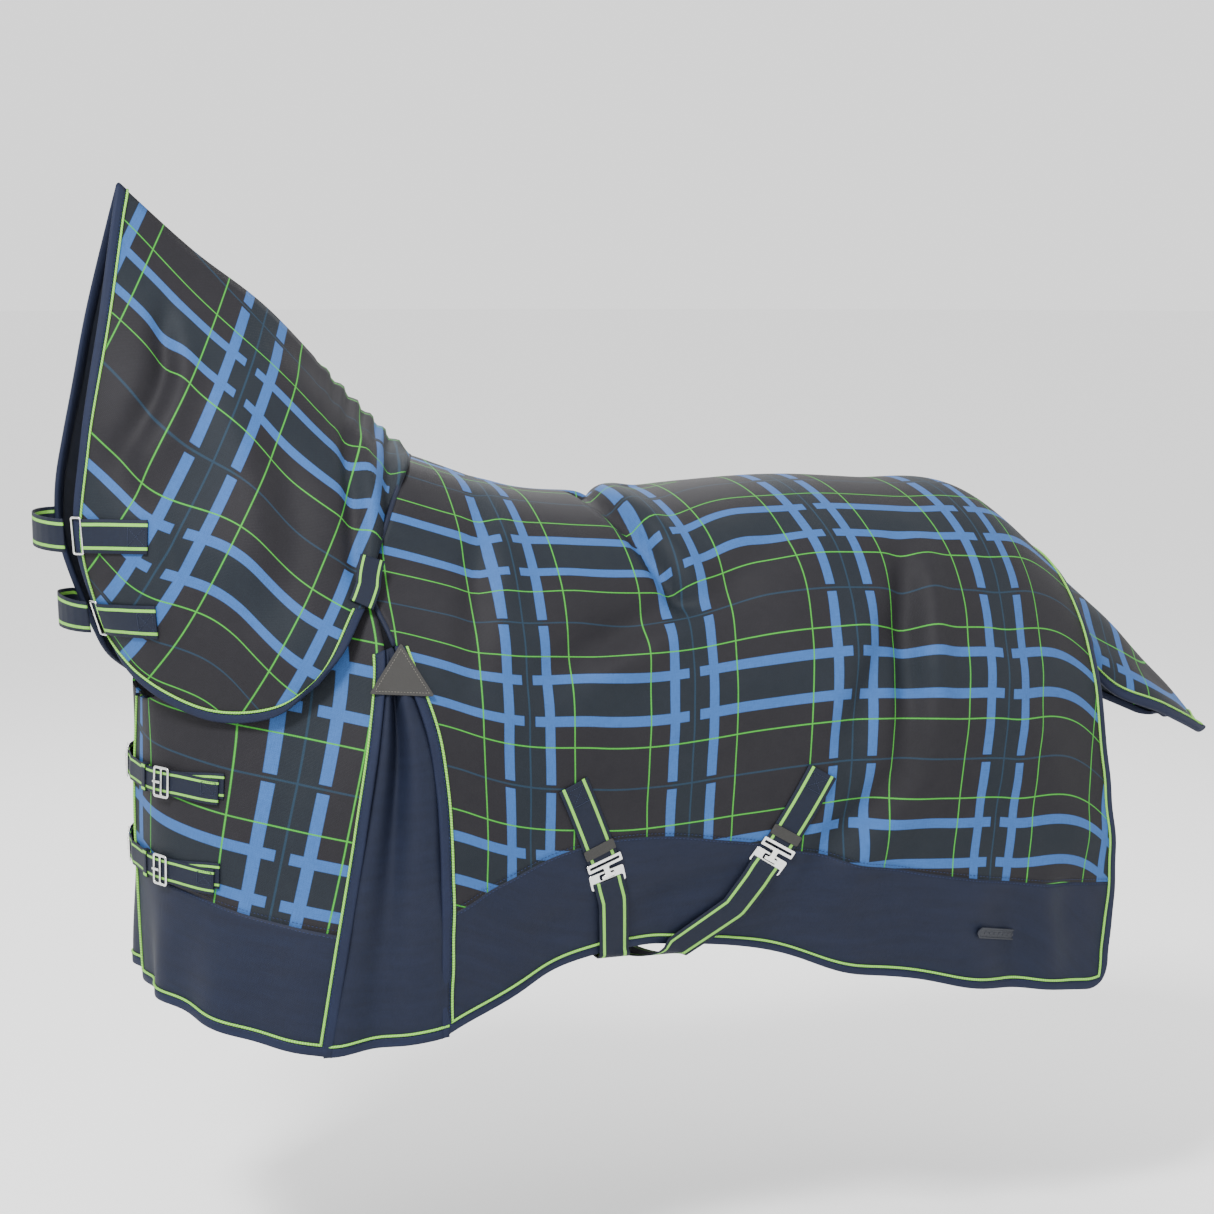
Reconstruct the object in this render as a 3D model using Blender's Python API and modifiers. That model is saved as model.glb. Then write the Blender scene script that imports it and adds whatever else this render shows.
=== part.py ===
"""Full-neck turnout rug, in the shape it takes on a standing horse.

Metres, +Z up. The horse faces -X and its near (left) side is at -Y. The origin is on the
crest line at the withers, where the neck cover meets the rug.

Each cloth piece is a patch of one smooth surface, given by its four edge curves, and is
thickened outwards with Solidify. Straps are ribbons laid along that surface.
"""
import math

import bpy
import numpy as np
from mathutils import Matrix, Vector

# Driving sizes of the rug on the horse
BACK = 1.09              # withers to croup, along X
DROP = 0.83              # withers to hem at the shoulder
HALF_WIDTH = 0.33        # half of the barrel's width
REACH = 0.425            # withers to the front of the chest, along X
NECK_REACH = 0.444       # withers to poll, along X
NECK_RISE = 0.417        # withers to poll, along Z
FLAP_REACH = 0.333       # croup to the tip of the tail flap, along X

# Cloth and trim
BAND = 0.185             # height of the plain lower band
BINDING = 0.016          # width of the edge binding
LINING_THICK = 0.0018
CLOTH_THICK = 0.004      # outer cloth with its filling
BINDING_THICK = 0.0062
PATCH_THICK = 0.0016
GAP = 0.0005             # running gap between neighbouring pieces
CHEST_OVERLAP = 0.025    # left chest panel past the centre line
CHEST_STEP = 0.0085      # the right chest panel lies this far behind the left one
CHEST_STEP_FADE = 0.35   # share of the panel over which that step fades out
FLAP_GAP = 0.0008        # tail flap to the rug's rear edge
SEAM_GAP = 0.0024        # neck seam, where the two pieces meet at an angle
BOUND = BINDING + 0.0009  # edge of the cloth, inside its binding
FLAP_TWIST = 0.0046      # more room inside the neck's binding, where the flap twists
RUG_COLUMNS, RUG_ROWS = 17, (5, 2, 5, 3)
CHEST_COLUMNS, CHEST_ROWS = 9, (2, 5, 3)
NECK_COLUMNS, NECK_ROWS = 12, (5, 5)

# Webbing and metalwork
WEB = 0.050              # surcingle and neck webbing
CHEST_WEB = 0.038
WEB_THICK = 0.002
WIRE = 0.0018            # radius of the neck rings' wire
PLATE_THICK = 0.002
KEEPER_WALL = 0.0015
KEEPER_LENGTH = 0.014
PRONG_WIDTH = 0.004
BELLY_SAG = 0.030        # the belly straps hang this far under the hem's level
BELLY_CROSSING = 0.008   # the rear belly strap hangs this much lower where the two cross
BELLY_TURN = 0.070       # a belly strap turns to its crossing over about this length
HEM_CLEAR = 0.0060       # belly strap to the hem binding

LEFT, RIGHT = -1, 1
OUTER_FACE = LINING_THICK + GAP + CLOTH_THICK
STRAP_LIFT = OUTER_FACE + 2 * GAP + KEEPER_WALL

# Places of the trim and the fastenings
CHEST_APEX_SHARE = 0.20  # the gusset's top on the chest panel's rear edge
GUSSET_GAP = 0.0009
PATCH_CORNERS = ((-0.141, -0.318), (-0.053, -0.324), (-0.096, -0.247))
PATCH_LIFT = OUTER_FACE + 0.0058   # the gusset's top stands this proud
TAB_WIDTH = 0.038
TAB_LIFT = OUTER_FACE + 0.0012
BADGE_X, BADGE_Z = 0.888, -0.759
BADGE_LONG, BADGE_TALL = 0.130, 0.018
CHEST_STRAP_HEIGHTS = {"upper": -0.460, "lower": -0.592}
NECK_STRAP_HEIGHTS = {"upper": -0.090, "lower": -0.212}
BUCKLE_FROM_CENTRE = 0.125
BUCKLE_LONG = 0.036
BUCKLE_RIM = 0.004
KEEPER_FROM_CENTRE = 0.075
KEEPER_CLEAR = 0.0008
HOOK_FROM_CENTRE = 0.040
HOOK_LONG = 0.030
PLATE_RIM = 0.004
BILLET_LONG = 0.130
ANCHOR_LONG = 0.120
RIGHT_RUN = 0.200
THROAT_BULGE = 0.040
RING_LONG = 0.016
RING_CLEAR = 0.0140      # ring to the off side strap, which turns the corner of the throat there
FRONT_SURCINGLE = [(0.156, -0.465), (0.207, -0.585), (0.226, -0.650), (0.235, -0.715)]
REAR_SURCINGLE = [(0.558, -0.470), (0.492, -0.585), (0.431, -0.680), (0.345, -0.730)]

# Shoulder line from the withers: neck seam, tab, top of the gusset, the gusset's rear edge, hem
SHOULDER = np.array([
    (0, 0, 0), (-0.035, 0.100, -0.012), (-0.085, 0.190, -0.070), (-0.125, 0.243, -0.165),
    (-0.105, 0.285, -0.250), (-0.062, 0.325, -0.400), (-0.052, 0.338, -0.600),
    (-0.051, 0.335, -0.832),
])
TAB_SHARE = 3 / 7        # the tab is the fourth point of the shoulder line
APEX_SHARE = 4 / 7       # the gusset's top is the fifth
SHOULDER_SHARE = 0.28    # share of the back over which the ribs bend to the shoulder line

# Stretch of the control points for other driving sizes
SHAPE = np.array([1.0, HALF_WIDTH / 0.33, DROP / 0.83])
FRONT = np.array([REACH / 0.425, HALF_WIDTH / 0.33, DROP / 0.83])
NECK = np.array([NECK_REACH / 0.444, 1.0, NECK_RISE / 0.417])
FLAP = np.array([FLAP_REACH / 0.333, 1, 1])
CHEST_CORNER = np.array([-0.127, 0.238, -0.166])


# ---------------------------------------------------------------- curves and surfaces

def through(points, u):
    """Points on the Catmull-Rom curve through the control points, for u from 0 to 1."""
    knots = np.asarray(points, float)
    knots = np.vstack([2 * knots[0] - knots[1], knots, 2 * knots[-1] - knots[-2]])
    place = np.clip(np.asarray(u, float), 0, 1) * (len(knots) - 3)
    first = np.minimum(place.astype(int), len(knots) - 4)
    f = (place - first)[..., None]
    a, b, c, d = (knots[first + k] for k in range(4))
    return 0.5 * (2 * b + (c - a) * f + (2 * a - 5 * b + 4 * c - d) * f**2 + (3 * b - a - 3 * c + d) * f**3)


def smooth(x):
    """0 below 0, 1 above 1 and a smooth step between."""
    x = np.clip(x, 0, 1)
    return x * x * (3 - 2 * x)


def coons(top, bottom, front, rear):
    """The surface spanned by four edge curves: u runs front to rear, v runs top to bottom."""
    def surface(u, v):
        u, v = np.broadcast_arrays(np.asarray(u, float), np.asarray(v, float))
        a, b = u[..., None], v[..., None]
        sides = (1 - b) * top(u) + b * bottom(u) + (1 - a) * front(v) + a * rear(v)
        corners = ((1 - a) * (1 - b) * top(0.0) + a * (1 - b) * top(1.0)
                   + (1 - a) * b * bottom(0.0) + a * b * bottom(1.0))
        return sides - corners
    return surface


def body_surface(s, t):
    """Rug behind the shoulder: s from shoulder to rear edge, t from spine to hem.

    Each rib is a Bezier arch over the horse. Near the shoulder it bends to the shoulder line.
    """
    s, t = np.broadcast_arrays(np.asarray(s, float), np.asarray(t, float))
    spine = through([(0, 0), (0.10, -0.052), (0.25, -0.066), (0.42, -0.056), (0.58, -0.050),
                     (0.74, -0.060), (0.86, -0.074), (1.0, -0.190)], s)
    hem = through([(-0.051, -0.832), (0.181, -0.742), (0.413, -0.748), (0.644, -0.806),
                   (0.876, -0.852), (1.108, -0.886)], s)
    wide = through([(0.90,), (0.97,), (1.02,), (1.06,), (1.05,), (0.84,)], s)[..., 0] * HALF_WIDTH
    hem_wide = through([(1.0,), (0.86,), (0.80,), (0.90,), (0.95,), (0.84,)], s)[..., 0] * HALF_WIDTH
    drop = hem[..., 1] * DROP / 0.83 - spine[..., 1]
    top_x = s * BACK
    hem_x = hem[..., 0] * BACK / 1.09
    across, down = arch(t, wide, hem_wide, drop)
    rib = np.stack([top_x + (hem_x - top_x) * t, across, spine[..., 1] + down], -1)
    first_across, first_down = arch(t, 0.90 * HALF_WIDTH, HALF_WIDTH, -0.832 * DROP / 0.83)
    first_rib = np.stack([-0.051 * BACK / 1.09 * t, first_across, first_down], -1)
    at_shoulder = through(SHOULDER * SHAPE, t)
    return rib + (1 - smooth(s / SHOULDER_SHARE))[..., None] * (at_shoulder - first_rib)


def arch(t, wide, hem_wide, drop):
    """Distance out and down along one rib, as a Bezier curve over the barrel and in to the hem."""
    weights = [math.comb(4, k) * (1 - t)**(4 - k) * t**k for k in range(5)]
    across = 0.56 * wide * weights[1] + 1.08 * wide * (weights[2] + weights[3]) + hem_wide * weights[4]
    return across, drop * (0.20 * weights[2] + 0.64 * weights[3] + weights[4])


def chest_rear(v):
    """Shoulder seam from the tab to the gusset's top, then the gusset's front edge to the hem."""
    edge = through([CHEST_CORNER, (-0.116, 0.283, -0.255), (-0.130, 0.308, -0.370),
                    (-0.155, 0.318, -0.510), (-0.183, 0.318, -0.670), (-0.212, 0.308, -0.852)], v)
    return edge * SHAPE


def chest_top(u):
    """Neckline of the chest panel, hidden under the shoulder flap."""
    line = [(-0.425, 0, -0.350), (-0.416, 0.095, -0.335), (-0.345, 0.170, -0.285), (-0.225, 0.212, -0.215)]
    return through(np.vstack([np.array(line) * FRONT, CHEST_CORNER * SHAPE]), u)


def chest_hem(u):
    line = [(-0.425, 0, -0.795), (-0.412, 0.130, -0.798), (-0.335, 0.242, -0.826)]
    return through(np.vstack([np.array(line) * FRONT, chest_rear(1.0)]), u)


def chest_front(v):
    return through([(-0.425, 0, -0.350), (-0.432, 0, -0.500), (-0.430, 0, -0.650),
                    (-0.425, 0, -0.795)], v) * FRONT


plain_chest = coons(chest_top, chest_hem, chest_front, chest_rear)


def chest_surface(u, v):
    """Chest: u from the centre line to the gusset, v down. Below 0 it runs on round the far side."""
    u, v = np.broadcast_arrays(np.asarray(u, float), np.asarray(v, float))
    place = plain_chest(np.abs(u), v)
    place[..., 1] *= np.where(u < 0, -1, 1)
    return place


def inner_chest_surface(u, v):
    """The right chest panel, which passes behind the left one at the centre."""
    place = chest_surface(u, v)
    place[..., 0] += CHEST_STEP * (1 - smooth(np.abs(u) / CHEST_STEP_FADE))
    return place


def neck_crest(u):
    return through([(-0.444, 0, 0.417), (-0.335, 0, 0.318), (-0.222, 0, 0.230), (-0.105, 0, 0.105),
                    (0, 0, 0)], u) * NECK


def neck_front(v):
    """Front edge, from the poll down the cheek to the front of the throat."""
    poll = (-0.444, 0, 0.417)
    return through([poll, (-0.483, 0.060, 0.225), (-0.516, 0.085, 0.050), (-0.529, 0.088, -0.090),
                    (-0.486, 0.072, -0.240)], v) * [NECK_REACH / 0.444, 1, 1] + (
        (1 - np.asarray(v, float))[..., None] * (np.array(poll) * NECK - np.array(poll) * [NECK_REACH / 0.444, 1, 1]))


def neck_rear(v):
    """Seam to the rug from the withers to the tab, then the free rear edge of the shoulder flap."""
    v = np.asarray(v, float)
    seam = through(SHOULDER * SHAPE, 2 * TAB_SHARE * v)
    flap = [(-0.152, 0.262, -0.212), (-0.180, 0.276, -0.257), (-0.216, 0.276, -0.300)]
    edge = through(np.vstack([SHOULDER[:4] * SHAPE, np.array(flap) * SHAPE]), v)
    return np.where((v < 0.5)[..., None], seam, edge)


def neck_bottom(u):
    """Lower edge of the shoulder flap, a round sweep."""
    first = neck_front(1.0)
    last = neck_rear(1.0)
    middle = np.array([(-0.440, 0.115, -0.312), (-0.362, 0.180, -0.358), (-0.278, 0.242, -0.350)])
    return through(np.vstack([first, middle * SHAPE, last]), u)


plain_neck = coons(neck_crest, neck_bottom, neck_front, neck_rear)


def neck_surface(u, v):
    """Neck cover: u from poll to shoulder, v from crest to lower edge, full over the crest."""
    u, v = np.broadcast_arrays(np.asarray(u, float), np.asarray(v, float))
    place = plain_neck(u, v)
    place[..., 1] += 0.030 * np.sin(math.pi * u) * np.sin(math.pi * v) + 0.010 * smooth(v / 0.4) * smooth(u / 0.3)
    return place


def gusset_surface(u, v):
    """Pleated shoulder gusset, between its front and rear edges from its top to the hem."""
    u, v = np.broadcast_arrays(np.asarray(u, float), np.asarray(v, float))
    front = chest_rear(0.20 + 0.80 * v)
    rear = body_surface(0 * v, APEX_SHARE + (1 - APEX_SHARE) * v)
    return front + (rear - front) * u[..., None]


def flap_surface(u, v):
    """Tail flap: u from croup to tip, v from its crest to its lower edge, an arch over the tail."""
    u, v = np.broadcast_arrays(np.asarray(u, float), np.asarray(v, float))
    crest = np.array([(0, 0, 0), (0.085, 0, -0.062), (0.190, 0, -0.160), (0.333, 0, -0.312)]) * FLAP
    edge = np.array([(0.012, 0.150, -0.150), (0.080, 0.165, -0.225), (0.190, 0.150, -0.270),
                     (0.318, 0.085, -0.330)]) * FLAP
    front = [(0, 0, 0), (0.002, 0.090, -0.030), (0.006, 0.138, -0.085), edge[0]]
    rear = [crest[-1], (crest[-1] + edge[-1]) / 2 + [0, 0.012, 0.012], edge[-1]]
    patch = coons(lambda a: through(crest, a), lambda a: through(edge, a),
                  lambda b: through(front, b), lambda b: through(rear, b))
    return patch(u, v) + body_surface(1.0, 0.0) + [FLAP_GAP, 0, 0]


# ---------------------------------------------------------------- building blocks

parts = None


def material(name, colour, roughness, metallic=0.0):
    made = bpy.data.materials.new(name)
    made.use_nodes = True
    shader = made.node_tree.nodes["Principled BSDF"]
    shader.inputs["Base Color"].default_value = (*colour, 1)
    shader.inputs["Roughness"].default_value = roughness
    shader.inputs["Metallic"].default_value = metallic
    return made


FINISHES = {
    "checked_cloth": ((0.030, 0.034, 0.050), 0.75, 0.0),
    "navy_cloth": ((0.020, 0.025, 0.055), 0.75, 0.0),
    "lining_cloth": ((0.022, 0.024, 0.040), 0.60, 0.0),
    "binding_tape": ((0.110, 0.210, 0.070), 0.80, 0.0),
    "webbing": ((0.016, 0.020, 0.040), 0.70, 0.0),
    "leather": ((0.060, 0.055, 0.048), 0.50, 0.0),
    "steel": ((0.780, 0.780, 0.770), 0.25, 1.0),
    "rubber": ((0.030, 0.035, 0.055), 0.60, 0.0),
}


def finish_object(obj, name, finish):
    obj.name = name
    obj.data.name = name
    colour, roughness, metallic = FINISHES[finish]
    obj.data.materials.append(material(name, colour, roughness, metallic))
    parts.objects.link(obj)
    return obj


def arc_share(surface, u, metres):
    """The v at which each rib still has the given length to go to its lower end."""
    v = np.linspace(0, 1, 61)
    shares = []
    for each in np.atleast_1d(u):
        run = np.concatenate([[0], np.cumsum(np.linalg.norm(np.diff(surface(each, v), axis=0), axis=1))])
        shares.append(np.interp(run[-1] - metres, run, v))
    return np.array(shares)


def along_share(surface, v):
    """The share of u that one metre is, along the line at each v."""
    u = np.linspace(0, 1, 31)
    return np.array([1 / np.linalg.norm(np.diff(surface(u, each), axis=0), axis=1).sum()
                     for each in np.atleast_1d(v)])


def patch_grid(surface, columns, lines, rows, front, rear):
    """u and v of a patch's points.

    lines are functions of u that give v along chosen lines across the ribs, and rows counts
    the steps between each two. front and rear are the insets of the side edges, as functions
    of v, in metres.
    """
    a = np.linspace(0, 1, columns + 1)
    levels = [line(a) for line in lines]
    v = [levels[0][:, None]]
    for low, high, count in zip(levels, levels[1:], rows):
        v.append(low[:, None] + (high - low)[:, None] * np.linspace(0, 1, count + 1)[None, 1:])
    v = np.concatenate(v, axis=1)
    u = np.empty_like(v)
    for j in range(v.shape[1]):
        share = along_share(surface, v[:, j])
        first = share * front(v[:, j])
        last = 1 - share * rear(v[:, j])
        u[:, j] = first + (last - first) * a
    return u, v


def lifted(surface, u, v, side, lift):
    """Points on one side of the horse, moved out along the normal, and the normals there."""
    step = 1e-4
    low_u = np.minimum(u, 1 - step)
    low_v = np.clip(v, step, 1 - step)
    along = surface(low_u + step, v) - surface(low_u - step * (low_u > step), v)
    down = surface(u, low_v + step) - surface(u, low_v - step)
    normal = np.cross(along, down)
    normal /= np.linalg.norm(normal, axis=-1, keepdims=True)
    place = surface(u, v) + normal * np.asarray(lift)[..., None]
    if surface in CREST_SURFACES:
        place[..., 1] = np.maximum(place[..., 1], GAP / 2)
    flip = np.array([1, side, 1])
    return place * flip, normal * flip


CREST_SURFACES = (body_surface, neck_surface)


def loft(name, grid, thickness, finish, outward):
    """Cloth through a grid of points, thickened towards the given side of the grid.

    outward is 1 where the cross product of the grid's two directions points out, or else -1.
    """
    columns, rows = grid.shape[:2]
    number = np.arange(columns * rows).reshape(columns, rows)
    corners = [number[:-1, :-1], number[1:, :-1], number[1:, 1:], number[:-1, 1:]]
    quads = np.stack(corners, -1).reshape(-1, 4)[:, ::outward]
    mesh = bpy.data.meshes.new(name)
    mesh.from_pydata(grid.reshape(-1, 3).tolist(), [], quads.tolist())
    mesh.update()
    obj = finish_object(bpy.data.objects.new(name, mesh), name, finish)
    solid = obj.modifiers.new("thickness", "SOLIDIFY")
    solid.thickness = thickness
    solid.offset = 1.0
    return obj


def cloth(name, surface, side, grid, lift, thickness, finish):
    place, _ = lifted(surface, *grid, side, lift)
    return loft(name, place, thickness, finish, side)


def bind_edges(name, surface, side, edge, inner, front_from=None, rear_from=None):
    """Edge binding between two grids of one patch, the full one and the one a tape's width in.

    It goes down the front edge from row front_from, along the bottom and up the rear edge to
    row rear_from. None leaves an edge without binding.
    """
    lines = []
    for u, v in (edge, inner):
        run = []
        if front_from is not None:
            run += [(u[0, j], v[0, j]) for j in range(front_from, v.shape[1] - 1)]
        run += list(zip(u[:, -1], v[:, -1]))
        if rear_from is not None:
            run += [(u[-1, j], v[-1, j]) for j in range(v.shape[1] - 2, rear_from - 1, -1)]
        u_run, v_run = np.array(run).T
        lines.append(lifted(surface, u_run, v_run, side, 0.0)[0])
    return loft(name, np.stack(lines, 1), BINDING_THICK, "binding_tape", -side)


def ribbon(name, centre, normal, width, finish="webbing", thickness=WEB_THICK):
    """Webbing with its middle along the points of centre and its back towards the cloth."""
    along = np.gradient(centre, axis=0)
    across = np.cross(normal, along)
    across /= np.linalg.norm(across, axis=1, keepdims=True)
    grid = np.stack([centre - across * width / 2, centre + across * width / 2], 1)
    return loft(name, grid, thickness, finish, 1)


class Run:
    """The line that a strap follows: points and outward normals, read by distance along it."""

    def __init__(self, points, normals):
        self.points = points
        self.normals = normals
        self.reach = np.concatenate([[0], np.cumsum(np.linalg.norm(np.diff(points, axis=0), axis=1))])

    def at(self, distance, lift=0.0):
        """Points and normals at the distances, lifted off the cloth."""
        distance = np.atleast_1d(distance)
        point = np.stack([np.interp(distance, self.reach, self.points[:, k]) for k in range(3)], -1)
        normal = np.stack([np.interp(distance, self.reach, self.normals[:, k]) for k in range(3)], -1)
        normal /= np.linalg.norm(normal, axis=1, keepdims=True)
        return point + normal * np.atleast_1d(lift)[:, None], normal

    def strap(self, name, start, end, width, lift, count=8):
        centre, normal = self.at(np.linspace(start, end, count), lift)
        return ribbon(name, centre, normal, width)

    def frame(self, distance, lift):
        """Matrix at a distance: X on along the strap, Y across it, Z out of its face."""
        step = 0.004
        (before, here, after), normals = self.at([distance - step, distance, distance + step], lift)
        x = Vector(after - before).normalized()
        z = Vector(normals[1])
        z = (z - x * z.dot(x)).normalized()
        return Matrix.Translation(Vector(here)) @ Matrix((x, z.cross(x), z)).transposed().to_4x4()


def plate(name, outline, holes, thickness, place, finish="steel"):
    """A flat piece on the plane Z = 0 of place: closed polygons, extruded upwards."""
    curve = bpy.data.curves.new(name, "CURVE")
    curve.dimensions = "2D"
    curve.fill_mode = "BOTH"
    curve.extrude = thickness / 2
    for ring in [outline, *holes]:
        spline = curve.splines.new("POLY")
        spline.points.add(len(ring) - 1)
        for point, (x, y) in zip(spline.points, ring):
            point.co = (x, y, 0, 1)
        spline.use_cyclic_u = True
    obj = finish_object(bpy.data.objects.new(name, curve), name, finish)
    obj.matrix_world = place @ Matrix.Translation((0, 0, thickness / 2))
    return obj


def rectangle(x_low, x_high, width, corner=0.0):
    """Corners of a rectangle centred on the X axis, each cut off by the given size."""
    y = width / 2
    if not corner:
        return [(x_low, -y), (x_high, -y), (x_high, y), (x_low, y)]
    return [(x_low + corner, -y), (x_high - corner, -y), (x_high, corner - y), (x_high, y - corner),
            (x_high - corner, y), (x_low + corner, y), (x_low, y - corner), (x_low, corner - y)]


def locate(surface, x, z):
    """u and v of the point of a surface that has the given X and Z."""
    u, v = 0.5, 0.5
    step = 1e-4
    for _ in range(40):
        here = surface(u, v)[[0, 2]]
        du = (surface(u + step, v)[[0, 2]] - here) / step
        dv = (surface(u, v + step)[[0, 2]] - here) / step
        move = np.linalg.solve(np.stack([du, dv], 1), np.array([x, z]) - here)
        u = float(np.clip(u + np.clip(move[0], -0.1, 0.1), 0, 0.999))
        v = float(np.clip(v + np.clip(move[1], -0.1, 0.1), 0, 0.999))
    return u, v


def run_on(surface, side, places, steps=6):
    """Points and normals over the cloth through places given as (u, v)."""
    u, v = np.array(places).T
    line = np.linspace(0, len(places) - 1, steps * (len(places) - 1) + 1)
    index = np.arange(len(places))
    return lifted(surface, np.interp(line, index, u), np.interp(line, index, v), side, 0.0)


def level_run(surface, side, height, u):
    """Points and normals at one height, for each u."""
    v_line = np.linspace(0, 1, 81)
    v = np.array([np.interp(-height, -surface(each, v_line)[:, 2], v_line) for each in u])
    return lifted(surface, u, v, side, 0.0)


# ---------------------------------------------------------------- cloth pieces

def level(share):
    """A line at one v all the way along."""
    return lambda u: np.full_like(u, share)


def above_hem(surface, metres):
    return lambda u: arc_share(surface, u, metres)


def bound_below(share, metres, sewn=GAP):
    """Inset of an edge that is sewn down to a share of its length and bound from there on."""
    return lambda v: sewn + metres * (np.asarray(v) > share - 1e-6)


def even(metres):
    return lambda v: np.full_like(v, metres)


def rug_side(side, word):
    """The rug behind the shoulder: lining, checked panel, plain lower band and binding."""
    def grid(inset, lines, rows):
        return patch_grid(body_surface, RUG_COLUMNS, lines, rows, bound_below(APEX_SHARE, inset), even(inset))

    def lines(inset, band=BAND):
        return [level(0.0), level(TAB_SHARE), level(APEX_SHARE), above_hem(body_surface, band),
                above_hem(body_surface, inset)]

    inset = BOUND
    outer = LINING_THICK + GAP
    cloth(f"rug_lining_{word}", body_surface, side, grid(inset, lines(inset), RUG_ROWS), 0.0,
          LINING_THICK, "lining_cloth")
    cloth(f"rug_panel_{word}", body_surface, side, grid(inset, lines(inset, BAND + GAP)[:-1], RUG_ROWS[:-1]),
          outer, CLOTH_THICK, "checked_cloth")
    cloth(f"lower_band_{word}", body_surface, side, grid(inset, lines(inset)[-2:], RUG_ROWS[-1:]), outer,
          CLOTH_THICK, "navy_cloth")
    bind_edges(f"rug_binding_{word}", body_surface, side, grid(0.0, lines(0.0), RUG_ROWS),
               grid(BINDING, lines(BINDING), RUG_ROWS), sum(RUG_ROWS[:2]), 0)


def chest_side(side, word):
    """Chest panel and plain band. The left one passes over the right one at the centre."""
    base = chest_surface if side == LEFT else inner_chest_surface
    start = -CHEST_OVERLAP / (2 * HALF_WIDTH)

    def surface(u, v):
        return base(start + (1 - start) * np.asarray(u), v)

    def grid(inset, lines, rows):
        return patch_grid(surface, CHEST_COLUMNS, lines, rows, even(inset),
                          bound_below(CHEST_APEX_SHARE, inset))

    def lines(inset, band=BAND):
        return [level(0.0), level(CHEST_APEX_SHARE), above_hem(surface, band), above_hem(surface, inset)]

    inset = BOUND
    outer = LINING_THICK + GAP
    cloth(f"chest_panel_{word}", surface, side, grid(inset, lines(inset, BAND + GAP)[:-1], CHEST_ROWS[:-1]),
          outer, CLOTH_THICK, "checked_cloth")
    cloth(f"chest_band_{word}", surface, side, grid(inset, lines(inset)[-2:], CHEST_ROWS[-1:]), outer,
          CLOTH_THICK, "navy_cloth")
    bind_edges(f"chest_binding_{word}", surface, side, grid(0.0, lines(0.0), CHEST_ROWS),
               grid(BINDING, lines(BINDING), CHEST_ROWS), 0, CHEST_ROWS[0])


def gusset_side(side, word):
    """Plain pleated gusset between chest and rug, and the leather patch over its top."""
    grid = patch_grid(gusset_surface, 3, [level(0.0), level(1.0)], [10], even(GUSSET_GAP), even(GUSSET_GAP))
    cloth(f"shoulder_gusset_{word}", gusset_surface, side, grid, 0.0, CLOTH_THICK, "navy_cloth")
    corners = []
    for surface, (x, z) in zip((chest_surface, body_surface, body_surface), PATCH_CORNERS):
        u, v = locate(surface, x, z)
        place, _ = lifted(surface, np.array([u]), np.array([v]), side, PATCH_LIFT)
        corners.append(Vector(place[0]))
    low_front, low_rear, top = corners
    along = (low_rear - low_front).normalized()
    out = along.cross(top - low_front).normalized() * -side
    up = out.cross(along)
    frame = Matrix.Translation(low_front) @ Matrix((along, up, out)).transposed().to_4x4()
    outline = [((each - low_front).dot(along), (each - low_front).dot(up)) for each in corners]
    plate(f"gusset_patch_{word}", outline, [], PATCH_THICK, frame, "leather")


def neck_side(side, word):
    """Neck cover: lining, checked panel, the binding round its free edges, and the tab."""
    def grid(inset):
        lines = [level(0.0), level(0.5), above_hem(neck_surface, inset)]
        return patch_grid(neck_surface, NECK_COLUMNS, lines, NECK_ROWS, even(inset),
                          bound_below(0.5 + 0.5 / NECK_ROWS[1] - 0.02, inset, SEAM_GAP))

    inset = BOUND + FLAP_TWIST
    cloth(f"neck_lining_{word}", neck_surface, side, grid(inset), 0.0, LINING_THICK, "lining_cloth")
    cloth(f"neck_panel_{word}", neck_surface, side, grid(inset), LINING_THICK + GAP, CLOTH_THICK,
          "checked_cloth")
    bind_edges(f"neck_binding_{word}", neck_surface, side, grid(0.0), grid(BINDING), 0, NECK_ROWS[0] + 1)
    points, normals = run_on(neck_surface, side, [(0.985, 0.44), (0.985, 0.58)])
    ribbon(f"neck_tab_{word}", points + normals * TAB_LIFT, normals, TAB_WIDTH)


def tail_flap():
    """Tail flap, one cloth over both sides."""
    u, v = patch_grid(flap_surface, 6, [level(0.0), level(1.0)], [5], even(0.0), even(0.0))
    off = flap_surface(u, v)
    near = off * [1, -1, 1]
    loft("tail_flap", np.concatenate([near[:, ::-1], off[:, 1:]], axis=1), CLOTH_THICK, "checked_cloth", 1)


def badge():
    """Plain rubber bar badge on the near side's lower band, near the rear."""
    u, v = locate(body_surface, BADGE_X, BADGE_Z)
    points, normals = run_on(body_surface, LEFT, [(u - 0.05, v), (u + 0.05, v + 0.008)])
    frame = Run(points, normals).frame(0.055, OUTER_FACE + 0.0004)
    outline = rectangle(-BADGE_LONG / 2, BADGE_LONG / 2, BADGE_TALL, BADGE_TALL / 3)
    plate("hem_badge", outline, [], 0.002, frame, "rubber")


# ---------------------------------------------------------------- fastenings

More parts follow.
